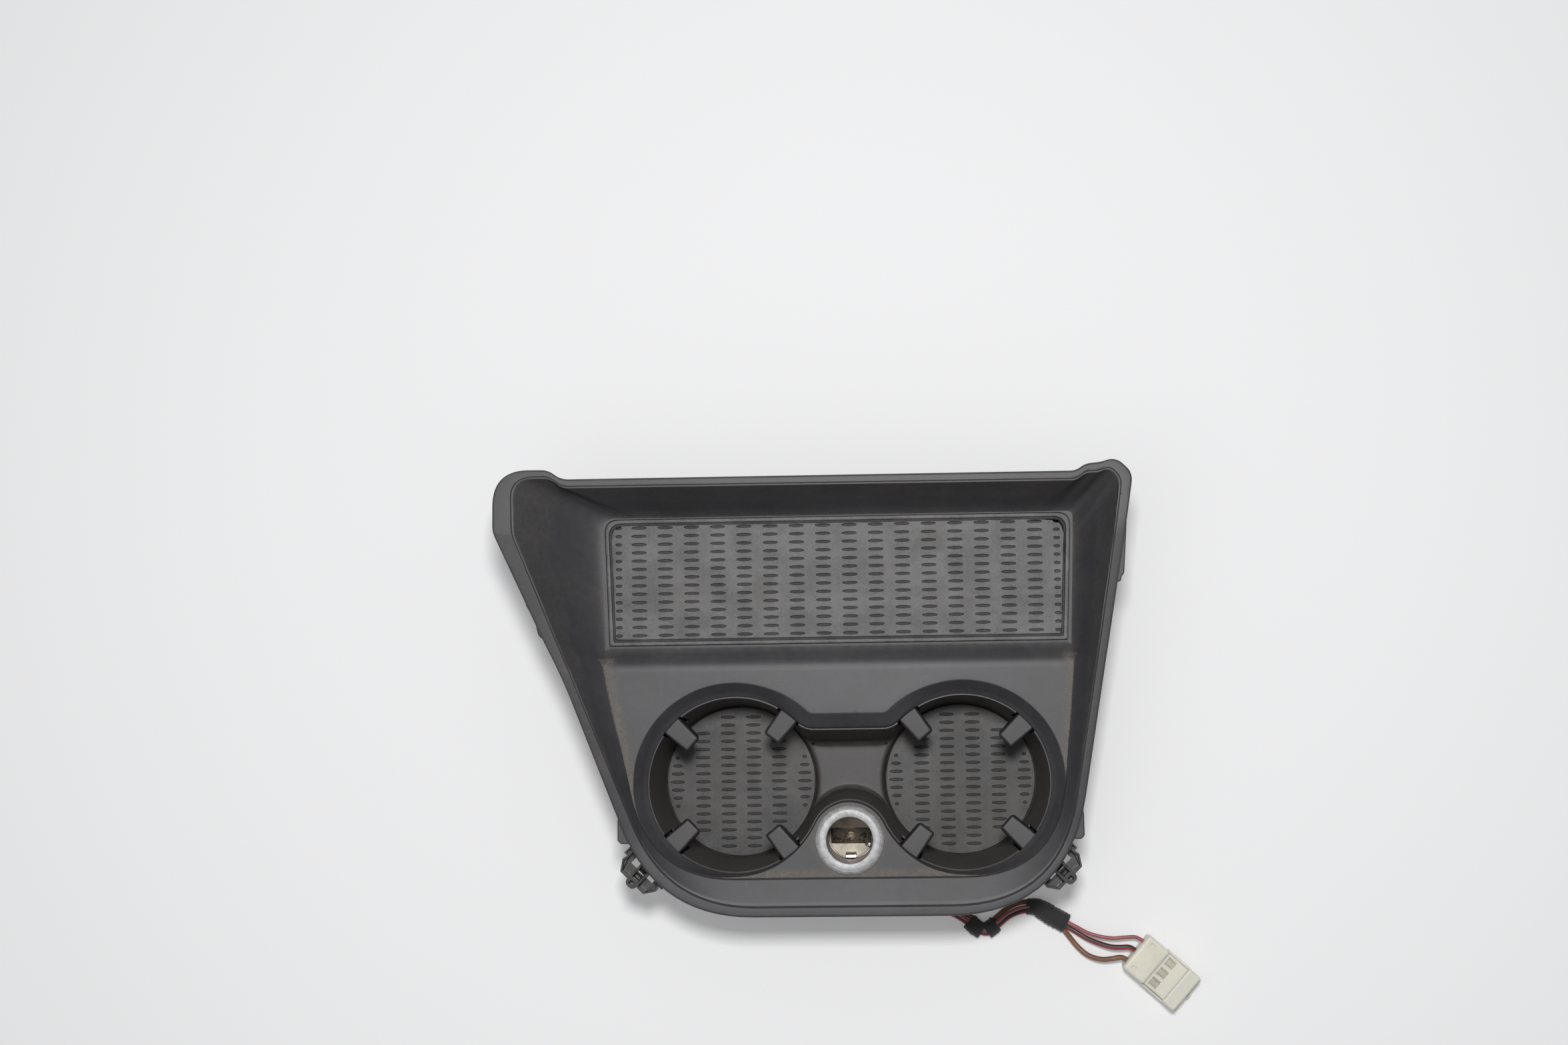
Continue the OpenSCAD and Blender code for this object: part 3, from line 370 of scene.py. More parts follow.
# Corners of the flange's outer and inner edges and of the walls' foot: (x, y, setback)
RIM_OUTER = [
    (-163.8, 119.5, 3), (-141.4, 69, 4), (-136.6, 59, 4), (-131.4, 47.5, 8), (-91, -61.3, 46),
    (101.3, -61.5, 56), (120.2, 57, 4), (121.7, 66, 4), (132.8, 135.5, 1.5), (133.6, 142, 4),
    (126, 149.4, 4.6), (119, 147.2, 2), (112, 146.6, 2.6), (107.5, 143.4, 2.6),
    (-131.5, 143.6, 3.6), (-137.5, 148.1, 3.4), (-163.6, 148.4, 17)]
RIM_INNER = [
    (-154.1, 118.4, 3), (-134.8, 69, 4), (-130.8, 59, 4), (-125.5, 45.5, 8), (-86, -56.2, 42),
    (97.6, -56.2, 50), (115.6, 57, 4), (117, 66, 4), (127.1, 132.5, 1.5), (127.7, 139.4, 3.2),
    (122.8, 144.6, 3), (118.4, 142.6, 1.6), (112.3, 142.4, 2), (107.8, 139, 2.2),
    (-131.2, 139.5, 3), (-137, 144.2, 3.2), (-154.6, 144.4, 10)]
FOOT = [
    (-115.2, 112, 3), (-114, 66, 3), (-114.4, 56, 4), (-111.8, 42, 8), (-94.2, -43.2, 40),
    (97.6, -43.2, 44), (106, 56, 4), (105.5, 66, 3), (107, 108, 2), (107.2, 114, 2),
    (107.4, 126.7, 3), (103, 126.7, 0.9), (99, 126.7, 1.5), (92, 126.7, 3),
    (-98, 126.7, 3), (-106, 126.7, 2), (-115.3, 126.7, 6.6)]


def mix(a, b, s):
    return a + (b - a) * s


def ease(s):
    s = min(1.0, max(0.0, s))
    return s * s * (3 - 2 * s)


def even_counts(outlines, steps, spacing=5.0):
    """Rounded outlines with the same number of points between matching corners."""
    result = [[] for _ in outlines]
    count = len(outlines[0])
    for i in range(count):
        ends = []
        for corners in outlines:
            x, y, setback = corners[i]
            c = Vector((x, y))
            before = Vector(corners[i - 1][:2])
            after = Vector(corners[(i + 1) % count][:2])
            a = c + (before - c).normalized() * setback
            b = c + (after - c).normalized() * setback
            gap = after + (c - after).normalized() * corners[(i + 1) % count][2] - b
            ends.append((a, c, b, gap))
        extra = int(max(e[3].length for e in ends) // spacing)
        for line, (a, c, b, gap) in zip(result, ends):
            for k in range(steps + 1):
                s = k / steps
                line.append(a.lerp(c, s).lerp(c.lerp(b, s), s))
            line.extend(b + gap * (k / (extra + 1)) for k in range(1, extra + 1))
    return result


rim_outer, rim_inner, foot = even_counts([RIM_OUTER, RIM_INNER, FOOT], 15)


def rim_z(y):
    return RIM_LOW + RIM_RISE * min(1.0, max(0.0, (y - RIM_FRONT) / RIM_RUN))


def floor_z(y):
    return TRAY_Z + (DECK_Z - TRAY_Z) * ease((STEP_FOOT_Y - y) / STEP_RUN)


def flange_ring(inward, down=0.0):
    """A ring on the flange, inward from its outer edge and down from its top."""
    ring = []
    for outer, inner in zip(rim_outer, rim_inner):
        if inward < 4:
            p = outer + (inner - outer).normalized() * inward
        else:
            p = inner + (outer - inner).normalized() * (FLANGE_W - inward)
        ring.append((p.x, p.y, rim_z(outer.y) - down))
    return ring


def wall_ring(s, down=0.0):
    """A ring on the walls, from the flange at 0 to their foot at 1."""
    ring = []
    for inner, low in zip(rim_inner, foot):
        p = inner.lerp(low, s)
        top, base = rim_z(inner.y), floor_z(low.y) - 0.12
        # The walls are hollower behind the wells, and meet the deck in a crease in front
        hollow = mix(1.0, 1.35, ease((low.y + 30) / 70))
        kick = 0.24 * ease((30 - low.y) / 50)
        rise = kick * min(1.0, (1 - s) / 0.07) + (1 - kick) * (1 - s) ** hollow
        ring.append((p.x, p.y, base + (top - base) * rise - down))
    return ring


def ring_faces(count, rings, closed=False):
    faces = []
    for j in range(rings if closed else rings - 1):
        here, above = j * count, (j + 1) % rings * count
        for i in range(count):
            k = (i + 1) % count
            faces.append((here + i, here + k, above + k, above + i))
    return faces


def stacked(rings):
    """The points and faces of an open stack of rings."""
    return [p for ring in rings for p in ring], ring_faces(len(rings[0]), len(rings))


def loft(name, rings, closed=False):
    points = [p for ring in rings for p in ring]
    return mesh_piece(name, points, ring_faces(len(rings[0]), len(rings), closed))


def inside(points, loop):
    """Which points lie inside a closed outline."""
    x, y = points[:, 0], points[:, 1]
    result = np.zeros(len(points), bool)
    for (x1, y1), (x2, y2) in zip(loop, np.roll(loop, -1, axis=0)):
        crosses = ((y1 > y) != (y2 > y)) & (x < (x2 - x1) * (y - y1) / (y2 - y1 + 1e-12) + x1)
        result ^= crosses
    return result


def plan_sheet(outline, holes, spacing=0.0):
    """Triangles that fill an outline in plan but for its holes: (points, faces)."""
    loops = [np.array([tuple(p)[:2] for p in loop], float) for loop in [outline] + holes]
    points, edges = [], []
    for loop in loops:
        start = len(points)
        points.extend(map(tuple, loop))
        edges.extend((start + i, start + (i + 1) % len(loop)) for i in range(len(loop)))
    if spacing:
        low, high = loops[0].min(axis=0), loops[0].max(axis=0)
        grid = np.array([(x + (spacing / 2 if j % 2 else 0), y)
                         for j, y in enumerate(np.arange(low[1], high[1], spacing * 0.87))
                         for x in np.arange(low[0], high[0], spacing)])
        keep = inside(grid, loops[0])
        for loop in loops[1:]:
            keep &= ~inside(grid, loop)
        grid = grid[keep]
        border = np.array(points)
        near = np.array([np.min(np.hypot(*(border - g).T)) for g in grid])
        points.extend(map(tuple, grid[near > spacing * 0.45]))
    made = delaunay_2d_cdt([Vector(p) for p in points], edges, [], 0, 1e-5)
    verts = np.array([tuple(v) for v in made[0]])
    faces = np.array([f for f in made[2] if len(f) == 3])
    middle = verts[faces].mean(axis=1)
    keep = inside(middle, loops[0])
    for loop in loops[1:]:
        keep &= ~inside(middle, loop)
    return verts, [tuple(map(int, f)) for f in faces[keep]]


def merged(name, pieces_of_mesh, tolerance=0.002):
    """One piece from lists of points and faces, with meeting points joined."""
    points, faces = [], []
    for part_points, part_faces in pieces_of_mesh:
        start = len(points)
        points.extend(part_points)
        faces.extend(tuple(start + i for i in f) for f in part_faces)
    piece = mesh_piece(name, points, faces)
    with edited(piece) as tool:
        bmesh.ops.remove_doubles(tool, verts=tool.verts, dist=tolerance * MM)
    piece.data.shade_smooth()
    return piece


# Outline of the opening in the trim and of the insert: two wells, bridge and outlet boss
WELL_STEPS = 120


def well_outline(well_r, front, fillet, boss_r, grow):
    """The outline, and the angle where the left well begins.

    grow(part, angle) moves the outline outwards by its value.
    """
    fx = -WELL_X + math.sqrt((well_r + fillet) ** 2 - (front + fillet) ** 2)
    start = math.degrees(math.atan2(front + fillet, fx + WELL_X))
    bridge = grow("front", 90)
    half = [(fx * k / 4, front + bridge) for k in range(4)]
    for k in range(9):
        a = math.radians(-90 - k / 8 * (90 - start))
        r = fillet - bridge
        half.append((fx + r * math.cos(a), front + fillet + r * math.sin(a)))
    for k in range(1, WELL_STEPS):
        a = start + (360 + BOSS_A - start) * k / WELL_STEPS
        r = well_r + grow("well", a)
        half.append((-WELL_X + r * math.cos(math.radians(a)), r * math.sin(math.radians(a))))
    for k in range(17):
        a = math.radians(180 + BOSS_A - k / 16 * (90 + BOSS_A))
        r = boss_r - grow("boss", 90 * k / 16)
        half.append((r * math.cos(a), OUTLET_Y + r * math.sin(a)))
    return half + [(-x, y) for x, y in reversed(half[1:-1])], start


FILLET_X = -WELL_X + math.sqrt((WELL_R + BRIDGE_FILLET) ** 2 - (BRIDGE_Y + BRIDGE_FILLET) ** 2)
FILLET_A = math.degrees(math.atan2(BRIDGE_Y + BRIDGE_FILLET, FILLET_X + WELL_X))
# Widths of the opening's edge at the bridge, at a well's side, at its rear and at the boss
CHAMFER, LIP = (6.3, 4.2, 0.8, 0.4), (0.6, 2.1, 0.4, 0.2)


def edge_width(widths, part, a):
    bridge, side, rear, boss = widths
    if part == "front":
        return bridge
    if part == "boss":
        return boss
    if a < 100:
        return mix(bridge, side, ease((a - FILLET_A) / 30))
    if a < 275:
        return mix(side, rear, ease((a - 215) / 60))
    return mix(rear, boss, ease((a - 275) / 50))


def opening_ring(lip, chamfer, z):
    def grow(part, a):
        return lip * edge_width(LIP, part, a) + chamfer * edge_width(CHAMFER, part, a)
    line, _ = well_outline(WELL_R, BRIDGE_Y, BRIDGE_FILLET, BOSS_R, grow)
    return [(x, y, z) for x, y in line]


def mat_outline(grow, steps=9):
    far, near, mid = 110.45 + grow, 108.7 + grow, -3.95
    top, low = 126.2 + grow, 66.2 - grow
    corners = [(mid + far, top, 6.7), (mid - far, top, 6.7), (mid - near + 0.3, low, 0.8),
               (mid + near - 0.7, low, 0.8)]
    return even_counts([corners], steps, 6.0)[0]


def add_rim():
    """The flange and the walls, one closed loft."""
    edge_r = 1.1
    rings = [flange_ring(0, 7), flange_ring(0, 3), flange_ring(0, edge_r)]
    for k in range(1, 6):
        a = math.radians(18 * k)
        rings.append(flange_ring(edge_r * (1 - math.cos(a)), edge_r * (1 - math.sin(a))))
    rings += [flange_ring(inward, down) for inward, down in (
        (2.5, 0), (4.0, 0), (4.14, 0.08), (4.26, 0.4), (4.5, 0.66), (4.78, 0.6))]
    for s in (0.012, 0.03, 0.06, 0.1, 0.16, 0.23, 0.31, 0.4, 0.5, 0.6, 0.7, 0.78, 0.85, 0.9, 0.92, 0.93,
              0.945, 0.97, 0.99, 1.0):
        rings.append(wall_ring(s, 0.22 * max(0, 1 - s / 0.1)))
    for s in (1.0, 0.75, 0.5, 0.25):
        rings.append(wall_ring(s, TRIM_WALL + 0.3 + 7.2 * s * (1 - s)))
    rings += [flange_ring(4.5, TRIM_WALL), flange_ring(TRIM_WALL, TRIM_WALL), flange_ring(TRIM_WALL, 7)]
    return loft("rim", rings, closed=True)


def add_deck():
    """The deck and the tray's floor, with the wells' chamfered opening and the mat's pocket."""
    outline = [p + (q - p).normalized() * 1.0 for p, q in zip(foot, rim_inner)]
    pocket = mat_outline(POCKET_GROW)
    socket = circle(BARREL_HOLE_R, 96, 0.0, OUTLET_Y)
    # (share of the lip, share of the chamfer, depth below the deck)
    profile = [(1, 1.1, 0), (1, 1.04, 0.06), (1, 0.985, 0.22), (1, 0.93, 0.5), (1, 0.5, 2.7),
               (1, 0.1, 4.75), (0.99, 0.03, 5.12), (0.9, 0, 5.45), (0.6, 0, 6.05), (0.2, 0, 6.75),
               (0.06, 0, 7.05), (0, 0, 7.25), (0, 0, 7.55)]
    edge = [opening_ring(lip, chamfer, DECK_Z - down) for lip, chamfer, down in profile]
    verts, faces = plan_sheet(outline, [edge[0], pocket, [Vector(p) for p in socket]], 3.2)
    wall = [[(p.x, p.y, floor_z(p.y)) for p in pocket]]
    wall += [[(p.x, p.y, z) for p in pocket] for z in (51.2, POCKET_Z)]
    base, base_faces = plan_sheet(pocket, [])
    deck = merged("deck", [
        stacked([[(x, y, z) for x, y in socket] for z in (DECK_Z, DECK_Z - 3)]),
        ([(x, y, floor_z(y)) for x, y in verts], faces), stacked(edge), stacked(wall),
        ([(x, y, POCKET_Z) for x, y in base], base_faces)])
    return thickened(outwards(deck, sheet=True), DECK_T)


# Ribs under the flange that show past its edge: (outline, top, height)
WINGS = [
    ([(-150, 86), (-145.6, 78.4), (-143.9, 71.3), (-142.4, 69.8), (-138, 69), (-143, 86)], 70.5, 9),
    ([(128.5, 121), (131, 120.2), (129.3, 96), (128, 94.4), (127.6, 92.2), (123, 92), (124, 121)], 73, 10),
    ([(-105.5, -6), (-108.9, -15.6), (-109, -25.2), (-107.4, -26.8), (-101, -26.8), (-102, -6)], 58, 8),
    ([(107.8, -6), (109.4, -15), (109.5, -25.2), (107.9, -26.8), (102, -26.8), (104, -6)], 58, 8)]


def add_trim():
    parts = [add_rim(), add_deck()]
    for line, top, height in WINGS:
        parts.append(bevelled(prism("wing", line, top - height, top), 0.7))
    return even_normals(joined("trim_cover", parts), 50)


def from_node(node, name, width):
    """A finer copy of a CAD node, with its edges softened."""
    piece = link(name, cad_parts[node].data.copy())
    with edited(piece) as tool:
        bmesh.ops.remove_doubles(tool, verts=tool.verts, dist=0.002 * MM)
        bmesh.ops.dissolve_limit(tool, angle_limit=math.radians(1), verts=tool.verts, edges=tool.edges)
    apply_modifiers(bevelled(piece, width))
    return even_normals(piece)


INSERT_R = WELL_R - INSERT_STEP
FINGER_SPOTS = {
    "left_outer_front": (-1, 137), "left_outer_rear": (-1, 223),
    "left_inner_front": (-1, 51.5), "left_inner_rear": (-1, -51.5),
    "right_outer_front": (1, 43), "right_outer_rear": (1, -43),
    "right_inner_front": (1, 128.5), "right_inner_rear": (1, 231.5)}
PIVOT_R, PIVOT_Z = 47.3, 43.7
FINGER_W, SLOT_W, SLOT_LEN, HUB_R = 11.0, 12.4, 21.0, 3.5
POCKET_FRONT, POCKET_BACK, POCKET_WALL = -8.1, 9.8, 1.0
BRIDGE_ROUND = 3.0


def at_finger(side, angle):
    """From a finger's own frame, X outwards along its radius, to the part's."""
    return placed_at(side * WELL_X, 0.0, angle, PIVOT_R, PIVOT_Z)


def well_radius(z):
    """The insert's inner radius, which grows evenly from the floor up."""
    return WELL_FLOOR_R + (INSERT_R - WELL_FLOOR_R) * (z - INSERT_WALL) / (INSERT_TOP - INSERT_WALL)


def insert_ring(z):
    """The insert's inner outline at a height, rounded towards the bridge's floor."""
    radius = well_radius(z)
    share = max(0.0, (BRIDGE_Z + BRIDGE_ROUND - z) / BRIDGE_ROUND)
    advance = BRIDGE_ROUND * (1 - math.sqrt(max(0.0, 1 - share * share)))
    front = BRIDGE_Y - INSERT_STEP - BRIDGE_DRAFT * (INSERT_TOP - z) / (INSERT_TOP - BRIDGE_Z) - advance
    return well_outline(radius, front, BRIDGE_FILLET + INSERT_STEP, OUTLET_GAP - radius,
                        lambda part, a: -advance * math.sin(math.radians(a)) if part == "boss" else 0.0)


def lower_well(start):
    """Rings of the left well from the bridge's floor down.

    The wall is open towards the bridge, so there the rings run on round the gap with a rounded lip.
    """
    steps = 26
    arc = [start + (360 + BOSS_A - start) * k / WELL_STEPS for k in range(WELL_STEPS + 1)]
    gap = [(360 + BOSS_A + (start - BOSS_A) * k / steps, min(1.0, 5 * k / steps, 5 * (1 - k / steps)))
           for k in range(1, steps)]
    rings = []
    for z, lip in ((9, 2.4), (8.93, 1.5), (8.7, 0.8), (8.3, 0.32), (7.7, 0.06), (7, 0), (5.8, 0), (4.4, 0)):
        radius = well_radius(z)
        spokes = [(a, radius) for a in arc] + [(a, radius + lip * ease(share)) for a, share in gap]
        rings.append([(-WELL_X + r * math.cos(math.radians(a)), r * math.sin(math.radians(a)), z)
                      for a, r in spokes])
    # The rounded foot and the floor
    foot_ring = rings[-1]
    for z, step in ((3.4, 0.3), (2.7, 0.9), (2.25, 1.9), (2.2, 3.0), (2.2, 30.0)):
        share = (WELL_FLOOR_R - step) / (WELL_FLOOR_R + (INSERT_R - WELL_FLOOR_R) * 0.03)
        rings.append([(-WELL_X + (x + WELL_X) * share, y * share, z) for x, y, _ in foot_ring])
    return rings


def insert_skin():
    """Both wells, the bridge and the outlet's boss, one sheet with a slot at each finger."""
    rings = []
    for z in (48.7, 48.4, 46, 42, 38, 34, 30, 26, 22, 18, 15, 12, 11, 10.3, 9.7, 9.25, 9.05, BRIDGE_Z):
        line, start = insert_ring(z)
        rings.append([(x, y, z) for x, y in line])
    well = lower_well(start)
    points, faces = stacked(well)
    faces.append(tuple(range(len(points) - len(well[0]), len(points))))
    mirrored = [(-x, y, z) for x, y, z in points], [tuple(reversed(f)) for f in faces]
    # The bridge's floor lies between its front, the two gaps and the boss
    ring, gap = rings[-1], well[0][WELL_STEPS + 1:]
    fillet_end, mid = 12, len(ring) // 2
    boss = fillet_end + WELL_STEPS
    patch = ring[:fillet_end + 1] + gap[::-1] + ring[boss:mid + 1]
    patch += [(-x, y, z) for x, y, z in ring[boss:mid][::-1] + gap + ring[1:fillet_end + 1][::-1]]
    flat, flat_faces = plan_sheet(patch, [], 3.0)
    skin = merged("insert", [stacked(rings), (points, faces), mirrored,
                             ([(x, y, BRIDGE_Z) for x, y in flat], flat_faces)], 0.01)
    thickened(outwards(skin, sheet=True), 2.0)
    low, high = (-14, -SLOT_W / 2, -SLOT_LEN), (12, SLOT_W / 2, 6.5)
    cut_away([skin], [moved(box_piece("slot", low, high), at_finger(side, angle))
                      for side, angle in FINGER_SPOTS.values()])
    return skin


def finger_mount(side, angle):
    """Two ears for a finger's pin, and the closed pocket that the finger folds into."""
    top, root = INSERT_TOP - PIVOT_Z, INSERT_R - PIVOT_R + 0.4
    near, far, low = SLOT_W / 2, SLOT_W / 2 + POCKET_WALL, -SLOT_LEN - POCKET_WALL
    ear_line = [(root, top), (root, -HUB_R - 6), (HUB_R * 0.7, -HUB_R * 0.7), (HUB_R, 0), (HUB_R, top)]
    cheek_line = [(-5.4, top), (POCKET_FRONT, -SLOT_LEN), (POCKET_BACK, -SLOT_LEN), (POCKET_BACK, top)]
    place = at_finger(side, angle)
    parts = []
    for m in (-1, 1):
        def upright(point):
            return place((point[0], m * point[2], point[1]))
        parts.append(bevelled(moved(prism("ear", ear_line, near, near + 2.2), upright), 0.4, 2))
        parts.append(moved(prism("pocket", cheek_line, near, far), upright))
    for start, height in ((POCKET_FRONT, -SLOT_LEN), (POCKET_BACK - POCKET_WALL, top)):
        parts.append(moved(box_piece("pocket", (start, -far, low), (POCKET_BACK, far, height)), place))
    return parts


def screw_ear(x, y):
    """A flat ear from the insert's wall out to a screw."""
    screw = Vector((x, y))
    base = Vector((0, OUTLET_Y - BOSS_R - 0.6))
    if x:
        base = Vector((math.copysign(WELL_X, x), 0))
        base += (screw - base).normalized() * (INSERT_R + 4.6)
    line = [centre + radius * Vector(p)
            for centre, radius in ((screw, 3.6), (base, 4.2)) for p in circle(1, 24)]
    return hull("ear", [(p.x, p.y, z) for z in (INSERT_TOP - 2.4, INSERT_TOP) for p in line])


def add_insert():
    parts = [insert_skin()]
    for side, angle in FINGER_SPOTS.values():
        parts += finger_mount(side, angle)
    rear = OUTLET_Y - BOSS_R - 4.8
    for x, y in ((-WELL_X, 52.5), (WELL_X, 52.5), (-104.7, 0), (104.7, 0), (0, rear)):
        parts.append(screw_ear(x, y))
    # The bridge stands on a round pad and a rib
    parts.append(prism("pad", circle(7, 48), 0, 7.4))
    parts.append(box_piece("rib", (-15.5, -1.1, 0), (15.5, 1.1, 7.4)))
    return even_normals(joined("insert_cover", parts), 32)


DIMPLE_LEN, DIMPLE_W, DIMPLE_DEPTH = 7.3, 1.6, 0.9
DIMPLE_STEP_X, DIMPLE_STEP_Y = 12.5, 3.94


def dimple_line(x, y, length, width):
    """A long slot that narrows to rounded ends."""
    return [(x + length / 2 * cos, y + width / 2 * math.copysign(abs(sin) ** 0.8, sin))
            for cos, sin in circle(1, 20)]


def ribbed_mat(name, rings, field_z, dimples):
    """A mat from its border's rings, with dimples sunk into its field and shade painted into them."""
    points, faces = stacked(rings)
    faces.append(tuple(reversed(range(len(rings[0])))))
    holes = [dimple_line(x, y, length, DIMPLE_W) for x, y, length in dimples]
    field, field_faces = plan_sheet([p[:2] for p in rings[-1]], holes)
    parts = [(points, faces), ([(x, y, field_z) for x, y in field], field_faces)]
    for x, y, length in dimples:
        points, faces = stacked([
            [(px, py, field_z - down) for px, py in dimple_line(x, y, length - step, DIMPLE_W - step)]
            for step, down in ((0, 0), (0.1, 0.06), (0.22, 0.3), (0.5, DIMPLE_DEPTH))])
        faces.append(tuple(range(len(points) - len(holes[0]), len(points))))
        parts.append((points, faces))
    piece = outwards(merged(name, parts))
    # Painted shade: each point's depth in a dimple is stored as a share that darkens the dimple's floor.
    mark(piece, "hollow", lambda x, y, z: min(1.0, max(0.0, (field_z - z - 0.05) / (0.6 * DIMPLE_DEPTH))))
    return even_normals(piece, 35)


def add_tray_mat():
    top = TRAY_Z + MAT_RELIEF
    steps = [(0, -MAT_T), (0, -0.35), (-0.1, -0.12), (-0.35, 0), (-1.45, 0), (-1.75, -0.15), (-1.95, -0.7),
             (-2.7, -0.7), (-2.85, -0.2), (-3.05, -0.02)]
    rings = [[(p.x, p.y, top + z) for p in mat_outline(grow)] for grow, z in steps]
    rows = [122.2 - DIMPLE_STEP_Y * j for j in range(14)]
    dimples = [(-98 + DIMPLE_STEP_X * i, y, DIMPLE_LEN) for i in range(16) for y in rows]
    dimples += [(x, y, 3.2) for x in (-107.7, 99.9) for y in rows]
    return ribbed_mat("tray_mat_cover", rings, top - 0.02, dimples)


def add_cup_mat(name, side):
    radius, top = WELL_FLOOR_R - 0.6, INSERT_WALL + MAT_T
    rings = [[(x, y, top + z) for x, y in circle(radius + grow, 120, side * WELL_X)]
             for grow, z in ((0, -MAT_T), (0, -0.3), (-0.1, -0.1), (-0.35, 0))]
    dimples = []
    for i in range(-3, 3):
        for j in range(-9, 10):
            x, y = (i + 0.5) * DIMPLE_STEP_X, j * DIMPLE_STEP_Y
            room = math.sqrt(max(0.0, (radius - 1.6) ** 2 - (abs(y) + 1.15) ** 2))
            length = min(DIMPLE_LEN, 2 * (room - abs(x)))
            if length > 2:
                dimples.append((side * WELL_X + x, y, length))
    return ribbed_mat(name, rings, top, dimples)


def add_finger(name, side, angle):
    edge, draft, taper, depth = 1.5, 0.3, 0.7, 9.5
    tip, half = -18.5, FINGER_W / 2 - edge
    balls = []
    for m in (-1, 1):
        balls += [(tip, m * (half - taper - draft), HUB_R - edge - 0.5, edge),
                  (tip + 0.7, m * (half - taper), -4, edge),
                  (-1.5, m * (half - draft + 0.5), HUB_R - 1, 1), (-1.5, m * half, edge - depth, edge)]
    hub = outwards(moved(prism("hub", circle(HUB_R, 48), -5.05, 5.05), swapped))
    piece = joined("finger_cover_" + name, [hull_of_balls("body", balls), bevelled(hub, 0.3, 2)])
    return even_normals(moved(piece, at_finger(side, angle)))


def add_ring():
    """The outlet's bright ring: a flat face, and a sloped band with fine flutes round it."""
    count, flutes, flute_depth = 768, 128, 0.09
    top = DECK_Z + 1.6
    # (radius, height from the top, share of the flutes)
    profile = [(10.84, -3.0, 0), (10.84, -0.25, 0), (10.94, -0.02, 0), (11.2, 0.1, 0), (14.2, 0.1, 0),
               (14.34, 0.04, 0), (14.42, -0.12, 0), (14.6, -0.06, 0), (14.8, -0.06, 1), (15.6, -0.42, 1),
               (15.95, -0.75, 1), (16.1, -1.05, 0.6), (16.15, -1.45, 0.2), (16.1, -1.6, 0), (13.4, -1.6, 0),
               (13.0, -3.0, 0)]
    rings = []
    for radius, height, share in profile:
        ring = []
        for k in range(count):
            a = 2 * math.pi * k / count
            cut = flute_depth * share * (1 - math.cos(flutes * a))
            r = radius - 0.4 * cut
            ring.append((r * math.cos(a), OUTLET_Y + r * math.sin(a), top + height - cut))
        rings.append(ring)
    return even_normals(outwards(loft("outlet_ring_cover", rings, closed=True)), 50)


def add_contact():
    """The socket's centre contact: an oily plate with turned-up ends and drops of old grease."""
    parts = [bevelled(box_piece("plate", (-9.6, -29.8, 18.5), (9.6, -22.7, 19.9)), 0.3)]
    for x in (-9.0, 9.0):
        parts.append(bevelled(box_piece("end", (x - 0.5, -29.4, 19), (x + 0.5, -23.1, 20.8)), 0.3))
    rand = random.Random(4)
    for _ in range(26):
        x, y, r = rand.uniform(-8, 8), rand.uniform(-29, -25.2), rand.uniform(0.25, 0.75)
        balls = [(x, y, 19.8, r), (x + rand.uniform(-0.9, 0.9), y, 19.8, r * 0.7)]
        parts.append(hull_of_balls("drop", balls, 10))
    return even_normals(joined("outlet_contact_cover", parts))


def add_claws():
    """Bent tabs that grip a plug: a broad one at the rear and a small one beside it."""
    profile = [(7.6, 19.4), (8.0, 21.3), (9.0, 22.1), (10.5, 22.3), (10.5, 21.3), (9.4, 21.0), (8.9, 19.3)]
    parts = []
    for angle, half in ((-90, 2.6), (-25, 1.0)):
        place = placed_at(0.0, OUTLET_Y, angle)
        tab = prism("tab", profile, -half, half)
        parts.append(bevelled(moved(tab, lambda p: place(swapped(p))), 0.35))
    return even_normals(joined("outlet_claws_cover", parts))


BRACKET_LEN, BRACKET_REACH, BRACKET_H = 11.0, 9.0, 9.0
BRACKET_ALONG, BRACKET_OUT, DIAGONAL = 40.8, 94.6, 0.70711


def at_bracket(side, base):
    """From a bracket's own frame, X along the corner and Y outwards, to the part's."""
    def place(point):
        u, v = point[0] + BRACKET_ALONG, point[1] + BRACKET_OUT
        return side * DIAGONAL * (u + v), DIAGONAL * (u - v), base + point[2]
    return place


def add_bracket(name, side):
    """A corner's clip housing: two open cells with a window each, and a slot between them."""
    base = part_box(name)[0][2] / MM
    length, reach, high = BRACKET_LEN, BRACKET_REACH, BRACKET_H
    half = [(length + 1.4, -3), (length + 1.4, 2.4), (length - 0.6, 2.4), (length, 5),
            (length - 3.4, reach + 1), (3, reach + 1), (2.6, reach + 2.4), (1.4, reach + 3.4)]
    body = prism("body", half + [(-x, y) for x, y in reversed(half)], 0, high)
    cutters = [box_piece("slot", (-1.9, 0.4, 2.6), (1.9, 7.6, high + 1)),
               box_piece("loop", (-1.1, reach + 0.1, 4), (1.1, reach + 2.3, high + 1))]
    for m in (-1, 1):
        cell = [(m * 3.1, -2.2), (m * 3.1, reach + 0.1), (m * (length - 3.8), reach + 0.1),
                (m * (length - 0.95), 5.1), (m * (length - 1.5), 2.9), (m * (length - 1.5), -2.2)]
        cutters += [prism("cell", cell, 2.6, high + 1),
                    box_piece("window", (m * 3.3, -0.4, -1), (m * 6.9, 4.6, 4)),
                    box_piece("nub", (m * (length - 0.2), -1, 5), (m * (length + 0.7), 1.4, high + 1))]
    cut_away([body], cutters, use_self=True)
    parts = [bevelled(body, 0.22, 2)]
    for m in (-1, 1):
        rib = box_piece("rib", (m * 2.5 - 0.22, 2.4, high - 1), (m * 2.5 + 0.22, 5.6, high + 0.3))
        leaf = prism("leaf", [(m * 7.3, reach), (m * (length - 1), 5.2), (m * (length - 1.6), 3.2)], 4, 6.4)
        parts += [bevelled(rib, 0.12), bevelled(leaf, 0.2)]
    piece = joined(name + "_cover", parts)
    mark(piece, "dust", lambda x, y, z: 0.8 if 2 < z < 6.6 else 0.0)
    return outwards(even_normals(moved(piece, at_bracket(side, base)), 35))


